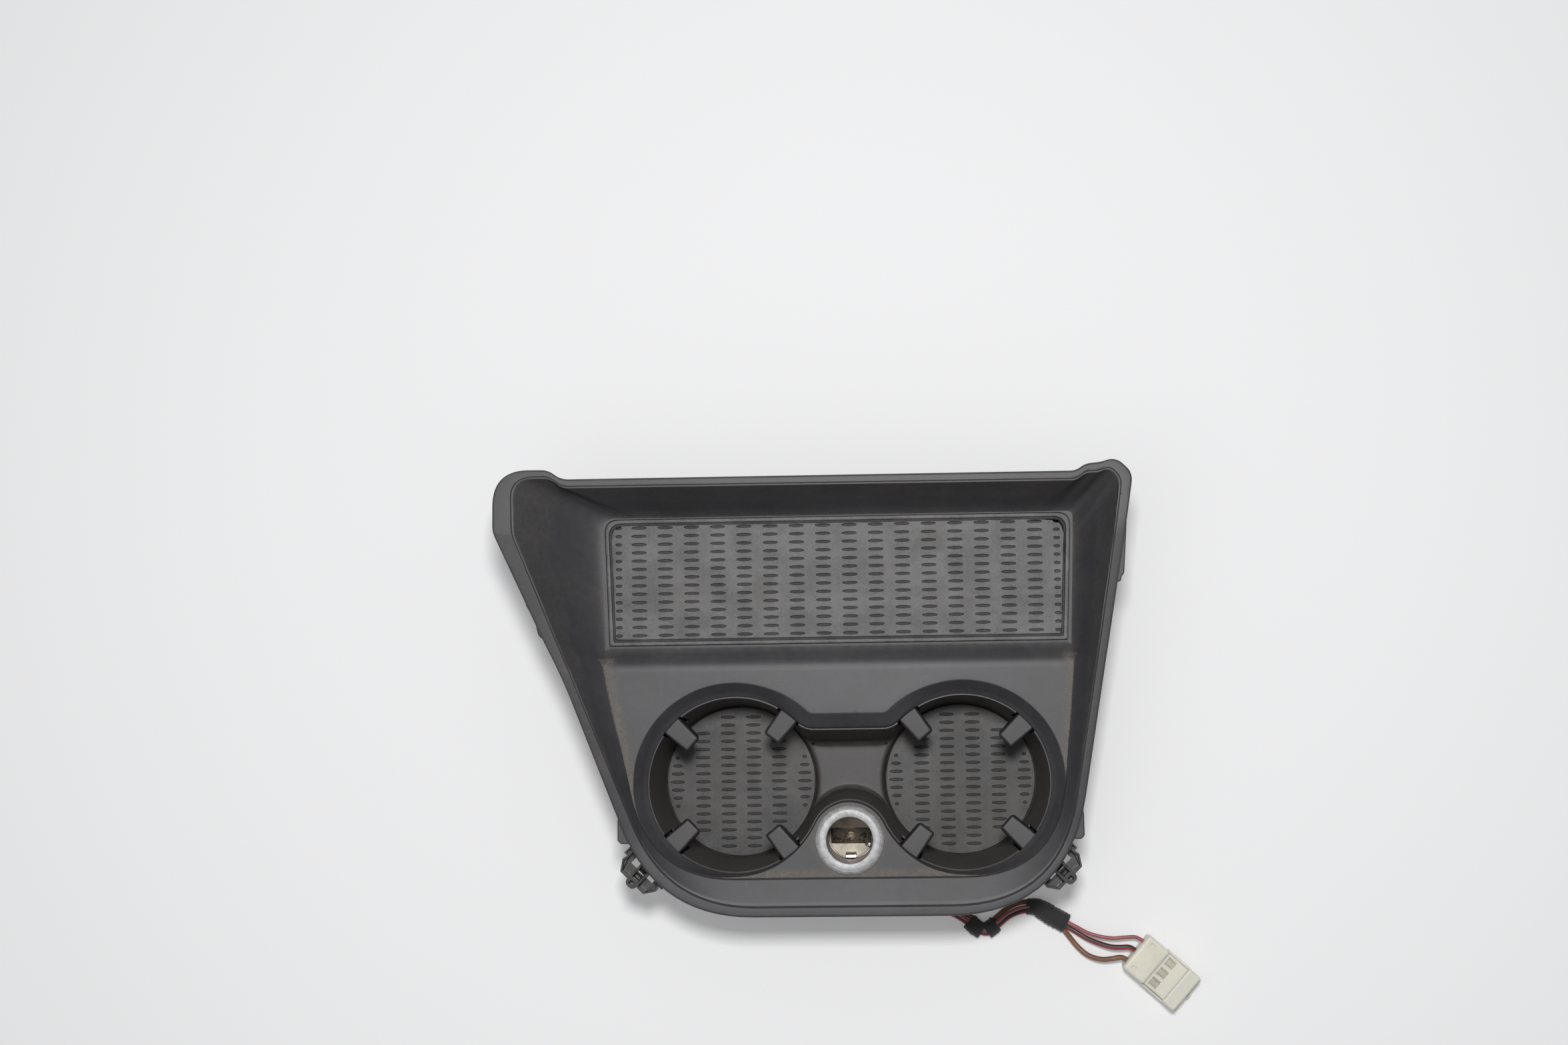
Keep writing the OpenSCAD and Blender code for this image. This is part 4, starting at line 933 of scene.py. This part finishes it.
def add_clip(name, side):
    """The rolled steel clip in the bracket's slot."""
    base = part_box(name)[0][2] / MM - 2
    parts = [cylinder_piece("roll", 1.3, (-1.85, 4.1, 6.6), (1.85, 4.1, 6.6)),
             box_piece("leg", (-1.7, 1.2, 2.7), (1.7, 2.0, 6.4)),
             box_piece("foot", (-1.7, 1.2, 2.7), (1.7, 7.4, 3.5))]
    piece = joined(name + "_cover", [bevelled(part, 0.25) for part in parts])
    return outwards(even_normals(moved(piece, at_bracket(side, base))))


PLUG_W, PLUG_LEN, PLUG_H, PLUG_PITCH = 20.4, 34.0, 13.0, 6
LANES = (-PLUG_PITCH, 0, PLUG_PITCH)
PIN_Z = PLUG_H - 4
at_plug = placed_at(136.4, -83.4, -41.5)


def add_housing():
    """The connector's milky housing: wire end, waist with windows, and a notched front."""
    half, grip, front = PLUG_W / 2, 13.0, PLUG_LEN - 2
    boxes = [("grip", (0, -half, 0.4), (grip, half, PLUG_H), 1.6, 5),
             ("waist", (grip - 2, -half + 0.7, 0.9), (front - 1, half - 0.7, PLUG_H - 0.9), 0.8, 3),
             ("head", (front - 7.4, -half - 0.2, 0), (front, half + 0.2, PLUG_H), 1.3, 5)]
    shells = [bevelled(box_piece(name, low, high), width, steps) for name, low, high, width, steps in boxes]
    lips = []
    for k, (reach, high) in enumerate(((1.7, 5), (0.7, 8), (2.2, 6), (0.9, 9), (1.5, 5))):
        y = (k - 2) * 4.3
        lip = box_piece("lip", (front - 2, y - 1.5, 1.2), (front + reach, y + 1.5, high))
        lips.append(bevelled(lip, 0.5))
    for y in (-half, half):
        lips.append(bevelled(box_piece("rail", (grip - 1, y - 0.6, 4.4), (front - 6, y + 0.6, 8.4)), 0.4))
    cutters = [box_piece("pit", (3.2, y - 0.9, PLUG_H - 0.8), (5.4, y + 0.9, PLUG_H + 1)) for y in (-7, 7)]
    cutters += [box_piece("window", (grip + 1.2, y - 2.2, PLUG_H - 2.6), (grip + 5.6, y + 2.2, PLUG_H + 1))
                for y in LANES]
    for radius, z, start, end in ((1.7, PLUG_H / 2, -1, 6), (1.5, PIN_Z, front - 4, front + 5)):
        cutters += [cylinder_piece("hole", radius, (start, y, z), (end, y, z)) for y in LANES]
    cut_away(shells, cutters)
    piece = joined("connector_housing_cover", shells + lips)
    return outwards(even_normals(moved(piece, at_plug)))


def add_contacts():
    """Yellowed contacts behind the windows and round ones in the front."""
    parts = []
    for y in LANES:
        parts.append(bevelled(box_piece("crimp", (14, y - 1.7, 6), (19, y + 1.7, 10.9)), 0.6))
        parts.append(cylinder_piece("seat", 1.45, (17, y, PIN_Z), (PLUG_LEN - 1.6, y, PIN_Z)))
    piece = joined("connector_contacts_cover", parts)
    return outwards(even_normals(moved(piece, at_plug)))


def add_tape(name, line, wide, tall, seed, start=1.0):
    """A wound tape. Its width grows from start times wide over its first half."""
    line, _ = smooth_line(line, 0.5)
    rand = random.Random(seed)
    waves = [(rand.uniform(0.5, 2.5), round(rand.uniform(1, 5)), rand.uniform(0, 6.3)) for _ in range(6)]
    last = len(line) - 1

    def section(k, a):
        ripple = sum(math.sin(along * k * 0.5 + around * a + shift) for along, around, shift in waves)
        ripple *= 0.008
        lap = 0.035 if (k / 4 + a / (2 * math.pi)) % 1 < 0.5 else 0.0
        size = (0.93 if k in (0, last) else 1.0) * mix(start, 1.0, ease(2 * k / last)) * (1 + ripple + lap)
        flat = (abs(math.cos(a)) ** 0.75) / max(1e-6, abs(math.cos(a)))
        return size * wide / 2 * min(flat, 1.6), size * tall / 2
    return tube(name, line, 1.0, 36, section)


# Finishes
def shader_group(name, inputs, outputs, build):
    tree = bpy.data.node_groups.new(name, "ShaderNodeTree")
    for label, kind, value in inputs:
        socket = tree.interface.new_socket(label, in_out="INPUT", socket_type=kind)
        if value is not None:
            socket.default_value = value
    for label, kind in outputs:
        tree.interface.new_socket(label, in_out="OUTPUT", socket_type=kind)
    source, result = tree.nodes.new("NodeGroupInput"), tree.nodes.new("NodeGroupOutput")
    build(tree, source, result)
    return tree


FLOAT, COLOR, VECTOR = "NodeSocketFloat", "NodeSocketColor", "NodeSocketVector"


def noise(tree, where, scale, detail=3.0, roughness=0.55, distortion=0.0):
    node = tree.nodes.new("ShaderNodeTexNoise")
    tree.links.new(where, node.inputs["Vector"])
    put(tree, node.inputs["Scale"], scale)
    node.inputs["Detail"].default_value = detail
    node.inputs["Roughness"].default_value = roughness
    node.inputs["Distortion"].default_value = distortion
    return node.outputs["Fac"]


def put(tree, socket, value):
    if isinstance(value, bpy.types.NodeSocket):
        tree.links.new(value, socket)
    else:
        socket.default_value = value


def maths(tree, how, a, b=0.0, clamp=False):
    node = tree.nodes.new("ShaderNodeMath")
    node.operation = how
    node.use_clamp = clamp
    put(tree, node.inputs[0], a)
    put(tree, node.inputs[1], b)
    return node.outputs[0]


def times(tree, a, b, clamp=False):
    return maths(tree, "MULTIPLY", a, b, clamp)


def plus(tree, a, b, clamp=False):
    return maths(tree, "ADD", a, b, clamp)


def between(tree, value, low, high):
    """0 below low and 1 above high, with a smooth step between them."""
    node = tree.nodes.new("ShaderNodeMapRange")
    node.interpolation_type = "SMOOTHSTEP"
    put(tree, node.inputs["Value"], value)
    put(tree, node.inputs["From Min"], low)
    put(tree, node.inputs["From Max"], high)
    return node.outputs["Result"]


def blended(tree, share, a, b):
    node = tree.nodes.new("ShaderNodeMix")
    node.data_type = "RGBA"
    put(tree, node.inputs["Factor"], share)
    put(tree, node.inputs["A"], a)
    put(tree, node.inputs["B"], b)
    return next(socket for socket in node.outputs if socket.type == "RGBA")


def object_place(tree):
    return tree.nodes.new("ShaderNodeTexCoord").outputs["Object"]


def marked_as(tree, name):
    node = tree.nodes.new("ShaderNodeAttribute")
    node.attribute_name = name
    return node.outputs["Fac"]


def build_dust(tree, source, result):
    """Dust that lies in broad patches, in fine specks, and where the piece is marked as dusty."""
    place = object_place(tree)
    patches = between(tree, noise(tree, place, 38, 5, 0.65, 0.6), 0.42, 0.72)
    rough_edge = between(tree, noise(tree, place, 420, 4, 0.7), 0.25, 0.75)
    fine = between(tree, noise(tree, place, 2600, 2, 0.5), 0.5, 0.66)
    grains = plus(tree, times(tree, fine, 0.75), 0.35)
    strip = times(tree, marked_as(tree, "dust"), plus(tree, rough_edge, 0.3), True)
    strip = times(tree, strip, grains)
    amount = source.outputs["Amount"]
    film = times(tree, patches, amount)
    film = times(tree, film, plus(tree, times(tree, fine, 0.7), 0.5))
    mask = plus(tree, film, times(tree, strip, source.outputs["Strip"]), True)
    specks = tree.nodes.new("ShaderNodeTexVoronoi")
    specks.feature = "F1"
    tree.links.new(place, specks.inputs["Vector"])
    specks.inputs["Scale"].default_value = 330
    speck = times(tree, between(tree, specks.outputs["Distance"], 0.075, 0.03),
                  between(tree, noise(tree, place, 70, 2), 0.52, 0.62))
    mask = plus(tree, mask, times(tree, speck, source.outputs["Specks"]), True)
    colour = blended(tree, mask, source.outputs["Base"], source.outputs["Dust"])
    tree.links.new(colour, result.inputs["Color"])
    tree.links.new(mask, result.inputs["Mask"])


def build_mottle(tree, source, result):
    """Uneven colour over a moulded surface."""
    place = object_place(tree)
    broad = noise(tree, place, source.outputs["Scale"], 4, 0.6, 0.4)
    fine = noise(tree, place, times(tree, source.outputs["Scale"], 11), 3, 0.6)
    grit = noise(tree, place, 2400, 2, 0.5)
    value = plus(tree, times(tree, broad, 0.5), times(tree, fine, 0.25))
    value = plus(tree, value, times(tree, grit, 0.25))
    share = between(tree, value, 0.36, 0.64)
    darker = blended(tree, source.outputs["Depth"], source.outputs["Base"], (0.0, 0.0, 0.0, 1))
    tree.links.new(blended(tree, share, darker, source.outputs["Base"]), result.inputs["Color"])
    tree.links.new(share, result.inputs["Mask"])


def build_grain(tree, source, result):
    """Fine moulded grain as a bump."""
    place = object_place(tree)
    coarse = noise(tree, place, source.outputs["Scale"], 3, 0.6)
    fine = noise(tree, place, times(tree, source.outputs["Scale"], 3.1), 2, 0.5)
    height = plus(tree, coarse, times(tree, fine, 0.4))
    bump = tree.nodes.new("ShaderNodeBump")
    bump.inputs["Distance"].default_value = 0.0004
    tree.links.new(source.outputs["Strength"], bump.inputs["Strength"])
    tree.links.new(height, bump.inputs["Height"])
    tree.links.new(bump.outputs["Normal"], result.inputs["Normal"])


def build_scratches(tree, source, result):
    """Short fine scratches in two directions."""
    place = object_place(tree)
    total = 0.0
    for turn, stretch in ((0.5, (60, 1400, 200)), (-0.9, (1300, 70, 200))):
        mapping = tree.nodes.new("ShaderNodeMapping")
        mapping.inputs["Rotation"].default_value = (0, 0, turn)
        mapping.inputs["Scale"].default_value = stretch
        tree.links.new(place, mapping.inputs["Vector"])
        line = between(tree, noise(tree, mapping.outputs[0], 1.0, 2, 0.5), 0.68, 0.76)
        total = plus(tree, line, total, True)
    patches = between(tree, noise(tree, place, 60, 2), 0.5, 0.62)
    mask = times(tree, times(tree, total, patches), source.outputs["Amount"])
    tree.links.new(mask, result.inputs["Mask"])


DUST = shader_group("settled_dust", [
    ("Base", COLOR, None), ("Dust", COLOR, (0.205, 0.172, 0.137, 1)), ("Amount", FLOAT, 0.3),
    ("Strip", FLOAT, 1.0), ("Specks", FLOAT, 0.3)], [("Color", COLOR), ("Mask", FLOAT)], build_dust)
MOTTLE = shader_group("uneven_colour", [
    ("Base", COLOR, None), ("Scale", FLOAT, 30.0), ("Depth", FLOAT, 0.3)],
    [("Color", COLOR), ("Mask", FLOAT)], build_mottle)
GRAIN = shader_group("moulded_grain", [("Scale", FLOAT, 1500.0), ("Strength", FLOAT, 0.2)],
                     [("Normal", VECTOR)], build_grain)
SCRATCHES = shader_group("fine_scratches", [("Amount", FLOAT, 0.4)], [("Mask", FLOAT)], build_scratches)


def placed(tree, group, **values):
    node = tree.nodes.new("ShaderNodeGroup")
    node.node_tree = group
    for label, value in values.items():
        put(tree, node.inputs[label.capitalize()], value)
    return node


def new_material(name, shown, roughness=0.6, metallic=0.0, **others):
    material = bpy.data.materials.new(name)
    material.use_nodes = True
    material.diffuse_color = (*shown[:3], 1)
    shader = material.node_tree.nodes["Principled BSDF"]
    shader.inputs["Base Color"].default_value = (*shown[:3], 1)
    shader.inputs["Roughness"].default_value = roughness
    shader.inputs["Metallic"].default_value = metallic
    for label, value in others.items():
        shader.inputs[label.replace("_", " ")].default_value = value
    return material, material.node_tree, shader


def finish_material(name, colour, roughness, metallic, mottle, dust, grain, scratches=0.0, hollows=0.0,
                    **others):
    """A used surface: uneven colour, dust, grain and scratches over one base, and painted shade darkening
    marked dimples.

    mottle is (depth, scale), dust is (amount, strip, specks) and grain is (strength, scale).
    """
    material, tree, shader = new_material(name, colour, roughness, metallic, **others)
    shown = placed(tree, MOTTLE, base=(*colour, 1), depth=mottle[0], scale=mottle[1]).outputs["Color"]
    if scratches:
        worn = placed(tree, SCRATCHES, amount=scratches)
        lighter = tuple(min(1, c * 1.7 + 0.03) for c in colour) + (1,)
        shown = blended(tree, worn.outputs["Mask"], shown, lighter)
    dusty = placed(tree, DUST, base=shown, amount=dust[0], strip=dust[1], specks=dust[2])
    shown = dusty.outputs["Color"]
    rough = plus(tree, roughness, times(tree, dusty.outputs["Mask"], 0.3), True)
    # Painted shade: the marked dimple floors are blended towards near-black.
    if hollows:
        dimple_shade_share = times(tree, marked_as(tree, "hollow"), hollows)
        shown = blended(tree, dimple_shade_share, shown, (0.014, 0.013, 0.013, 1))
        rough = plus(tree, rough, times(tree, dimple_shade_share, 0.4), True)
    tree.links.new(shown, shader.inputs["Base Color"])
    tree.links.new(rough, shader.inputs["Roughness"])
    bumps = placed(tree, GRAIN, strength=grain[0], scale=grain[1])
    tree.links.new(bumps.outputs["Normal"], shader.inputs["Normal"])
    return material


def striped_wire(name, main, stripe, width):
    """Insulation with a stripe along it, by the angle around the wire."""
    material, tree, shader = new_material(name, main, 0.38, Specular_IOR_Level=0.5)
    where = tree.nodes.new("ShaderNodeUVMap")
    where.uv_map = "UVMap"
    apart = tree.nodes.new("ShaderNodeSeparateXYZ")
    tree.links.new(where.outputs[0], apart.inputs[0])
    off = maths(tree, "ABSOLUTE", maths(tree, "SUBTRACT", apart.outputs["X"], 0.3))
    band = between(tree, off, width, width * 0.7)
    striped = blended(tree, band, (*main, 1), (*stripe, 1))
    dirty = placed(tree, MOTTLE, base=striped, scale=120.0, depth=0.35)
    tree.links.new(dirty.outputs["Color"], shader.inputs["Base Color"])
    return material


def milky_plastic():
    colour = (0.87, 0.84, 0.72)
    material, tree, shader = new_material("milky_housing", colour, 0.36, Subsurface_Weight=0.5,
                                          Subsurface_Scale=0.002, IOR=1.45)
    shader.inputs["Subsurface Radius"].default_value = (1.0, 0.95, 0.7)
    stained = placed(tree, MOTTLE, base=(*colour, 1), scale=60.0, depth=0.06)
    dusty = placed(tree, DUST, base=stained.outputs["Color"], amount=0.2, strip=0.5, specks=0.4)
    tree.links.new(dusty.outputs["Color"], shader.inputs["Base Color"])
    return material


# Each finish: its material, colour, roughness, metallic, (mottle's depth, scale),
# (dust, strip, specks), (grain, scale), scratches and dimple shade (painted shade in dimples)
FINISHES = {
    "trim": ("trim_plastic", (0.056, 0.055, 0.060), 0.46, 0,
             (0.25, 26), (0.12, 1, 0.5), (0.09, 5200), 0.35),
    "insert": ("insert_plastic", (0.053, 0.049, 0.050), 0.46, 0,
               (0.3, 34), (0.14, 0.8, 0.35), (0.09, 4800), 0.3),
    "mat": ("mat_rubber", (0.104, 0.101, 0.103), 0.42, 0,
            (0.75, 75), (0.2, 1, 0.9), (0.16, 4400), 0, 0.55),
    # The cup mats' rubber is darker than the tray mat's, which paints in the shade deep in the wells; its
    # last value darkens the dimples as painted shade.
    "cup_mat": ("cup_mat_rubber_with_painted_shade", (0.068, 0.063, 0.062), 0.44, 0,
                (0.8, 85), (0.3, 1, 0.9), (0.16, 4400), 0, 0.5),
    "finger": ("finger_plastic", (0.029, 0.028, 0.031), 0.44, 0,
               (0.25, 60), (0.14, 0.8, 0.35), (0.07, 5000), 0.5),
    "steel": ("pin_steel", (0.5, 0.5, 0.5), 0.35, 1,
              (0.2, 200), (0.1, 0.4, 0.1), (0.1, 3000), 0.2),
    "outlet_ring": ("ring_metal", (0.53, 0.53, 0.535), 0.5, 0.35,
                    (0.4, 420), (0.12, 0.8, 1), (0.08, 3400), 0.3),
    "sleeve": ("sleeve_plate", (0.66, 0.60, 0.58), 0.42, 0.7,
               (0.35, 150), (0.15, 0.5, 0.2), (0.2, 1200), 0.3),
    "barrel": ("barrel_plastic", (0.05, 0.05, 0.05), 0.5, 0,
               (0.25, 30), (0.25, 1, 0.3), (0.2, 1500)),
    "insulator": ("insulator_plastic", (0.84, 0.77, 0.61), 0.5, 0,
                  (0.5, 160), (0.1, 0.4, 0.2), (0.1, 1500)),
    "contact": ("oily_contact", (0.085, 0.055, 0.036), 0.16, 0.35,
                (0.6, 420), (0.1, 0.3, 0.2), (0.05, 3000)),
    "rivet": ("rivet_head", (0.26, 0.20, 0.13), 0.34, 0.3,
              (0.5, 420), (0.1, 0.3, 0.2), (0.05, 3000)),
    "claws": ("bright_claws", (0.62, 0.60, 0.58), 0.22, 0.8,
              (0.5, 420), (0.1, 0.3, 0.2), (0.05, 3000)),
    "bracket": ("bracket_plastic", (0.030, 0.030, 0.031), 0.3, 0,
                (0.2, 60), (0.1, 0.4, 0.2), (0.04, 3000), 0.3),
    "clip": ("clip_metal", (0.045, 0.045, 0.042), 0.22, 0,
             (0.2, 60), (0.1, 1, 0.3), (0.04, 1500)),
    "terminals": ("terminal_metal", (0.60, 0.58, 0.47), 0.45, 0.25,
                  (0.3, 200), (0.1, 1, 0.3), (0.03, 1500))}
MATERIALS = {finish: finish_material(*row) for finish, row in FINISHES.items()}
MATERIALS["tape"] = finish_material("cloth_tape_weave", (0.030, 0.030, 0.031), 0.85, 0, (0.3, 200),
                                    (0.12, 0.6, 0.4), (0.9, 2400), Sheen_Weight=0.3)
MATERIALS["connector"] = milky_plastic()
for wire, main, stripe, width in (("thin_wire", (0.36, 0.33, 0.33), (0.47, 0.13, 0.13), 0.2),
                                  ("red_wire", (0.44, 0.075, 0.08), (0.030, 0.026, 0.027), 0.10),
                                  ("brown_wire", (0.31, 0.165, 0.10), (0.25, 0.12, 0.07), 0.10)):
    MATERIALS[wire] = striped_wire(wire + "_cover", main, stripe, width)


def dress(piece, finish, node, body=BODY):
    """Gives a piece its finish, and has it ride on a body and stand for a CAD node."""
    piece.data.materials.clear()
    piece.data.materials.append(MATERIALS[finish])
    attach(piece, body)
    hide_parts(node)
    return piece


def away_from(line, x, y):
    """The distance from a point to a closed outline."""
    ends = np.roll(line, -1, axis=0)
    along = ends - line
    share = np.clip(((np.array((x, y)) - line) * along).sum(axis=1) / (along ** 2).sum(axis=1), 0, 1)
    return float(np.hypot(*(line + along * share[:, None] - (x, y)).T).min())


FOOT_LINE = np.array([tuple(p) for p in foot])
MAT_LINE = np.array([tuple(p) for p in mat_outline(POCKET_GROW, 5)])


def trim_dust(x, y, z):
    """Along the foot of the walls, round the outlet and along the mat's lower edge."""
    if z < DECK_Z - 0.5 and y < 58:
        return 0.0
    crease = max(0.0, 1 - away_from(FOOT_LINE, x, y) / 5) if z < DECK_Z + 0.3 else 0.0
    crease *= 1.8 if y < 60 else 0.3
    ring = 1.1 * max(0.0, 1 - max(0.0, math.hypot(x, y - OUTLET_Y) - 15) / (5 if y > OUTLET_Y else 3))
    shelf = 0.16 * max(0.0, 1 - away_from(MAT_LINE, x, y) / 3)
    top = 0.16 if z > DECK_Z + 9 else 0.0
    return min(1.0, max(crease, ring, shelf, top))


def insert_dust(x, y, z):
    """A brown film on the walls, thicker at their feet."""
    if z > INSERT_TOP - 1:
        return 0.0
    if abs(x) < 26 and BRIDGE_Z - 1 < z < BRIDGE_Z + 0.5:
        return 0.12
    return 0.4 + 0.25 * max(0.0, 1 - z / 14)


mark(dress(add_trim(), "trim", "tray_shell"), "dust", trim_dust)
mark(dress(add_insert(), "insert", "cup_insert"), "dust", insert_dust)
dress(add_tray_mat(), "mat", "tray_mat")
dress(add_cup_mat("left_cup_mat_cover", -1), "cup_mat", "left_cup_mat")
dress(add_cup_mat("right_cup_mat_cover", 1), "cup_mat", "right_cup_mat")
for spot, (side, angle) in FINGER_SPOTS.items():
    dress(add_finger(spot, side, angle), "finger", "finger_" + spot, "finger_" + spot)
    dress(from_node("pin_" + spot, "pin_cover_" + spot, 0.15), "steel", "pin_" + spot)
    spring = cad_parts["spring_" + spot]
    spring.data.materials.clear()
    spring.data.materials.append(MATERIALS["steel"])
dress(add_ring(), "outlet_ring", "outlet_ring")
dress(add_contact(), "contact", "outlet_contact")
dress(add_claws(), "claws", "outlet_claws")
for hand, side in (("left", -1), ("right", 1)):
    bracket, clip = hand + "_corner_bracket", hand + "_corner_clip"
    dress(add_bracket(bracket, side), "bracket", bracket)
    dress(add_clip(clip, side), "clip", clip)
housing = dress(add_housing(), "connector", "connector_housing")
contacts = dress(add_contacts(), "terminals", "connector_contacts")
for node, finish, width in (
        ("outlet_sleeve", "sleeve", 0.15), ("outlet_barrel", "barrel", 0.2),
        ("outlet_insulator", "insulator", 0.2), ("outlet_rivet", "rivet", 0.1),
        ("outlet_rear_plug", "barrel", 0.4), ("insert_screws", "steel", 0.2)):
    dress(from_node(node, node + "_cover", width), finish, node)
# Each tape's line, width, height, seed and width at its start
TAPES = {
    "exit_tape": ([(56.6, -69.2, 2.75), (59.4, -71.9, 2.75), (62.8, -74.2, 2.75)], 8.0, 5.2, 3),
    "middle_tape": ([(65.0, -74.2, 2.95), (67.4, -72.4, 2.95), (69.8, -70.5, 2.95)], 8.0, 5.6, 5),
    "cloth_tape": ([(84.6, -62.4, 3.2), (89.6, -62.8, 3.2), (94.0, -65.2, 3.2), (98.4, -67.9, 3.2),
                    (104.0, -70.8, 3.2)], 9.4, 6.2, 8, 0.8)}
tapes = [dress(add_tape(node + "_cover", *shape), "tape", node) for node, shape in TAPES.items()]
for name, (piece, line, length, width) in wires.items():
    dress(piece, name, name)


# Floor, light and world
def add_stage():
    floor = mesh_piece("floor", [(-4000, -4000, -0.4), (4000, -4000, -0.4), (4000, 4000, -0.4),
                                 (-4000, 4000, -0.4)], [(0, 1, 2, 3)], False)
    material, tree, shader = new_material("pale_floor", (0.84, 0.84, 0.845), 0.8, Specular_IOR_Level=0.1)
    path = tree.nodes.new("ShaderNodeLightPath")
    seen = maths(tree, "MAXIMUM", path.outputs["Is Camera Ray"],
                 maths(tree, "MAXIMUM", path.outputs["Is Glossy Ray"], path.outputs["Is Transmission Ray"]))
    shader.inputs["Emission Color"].default_value = (1.0, 0.995, 0.99, 1)
    tree.links.new(times(tree, seen, 0.15), shader.inputs["Emission Strength"])
    floor.data.materials.append(material)
    for name, place, power, size in (("flash", (0.03, 0.26, 1.25), 9.5, 0.16),
                                     ("fill", (-0.5, -0.2, 1.5), 2.0, 1.0)):
        light = bpy.data.lights.new(name, "AREA")
        light.energy = power
        light.size = size
        lamp = bpy.data.objects.new(name, light)
        lamp.location = place
        lamp.rotation_euler = (Vector((0, 0.03, 0.03)) - lamp.location).to_track_quat("-Z", "Y").to_euler()
        scene.collection.objects.link(lamp)
    world = bpy.data.worlds.new("world")
    world.use_nodes = True
    world.node_tree.nodes["Background"].inputs["Color"].default_value = (0.95, 0.97, 1.0, 1)
    world.node_tree.nodes["Background"].inputs["Strength"].default_value = 0.22
    scene.world = world
    scene.view_settings.view_transform = "Standard"


add_stage()
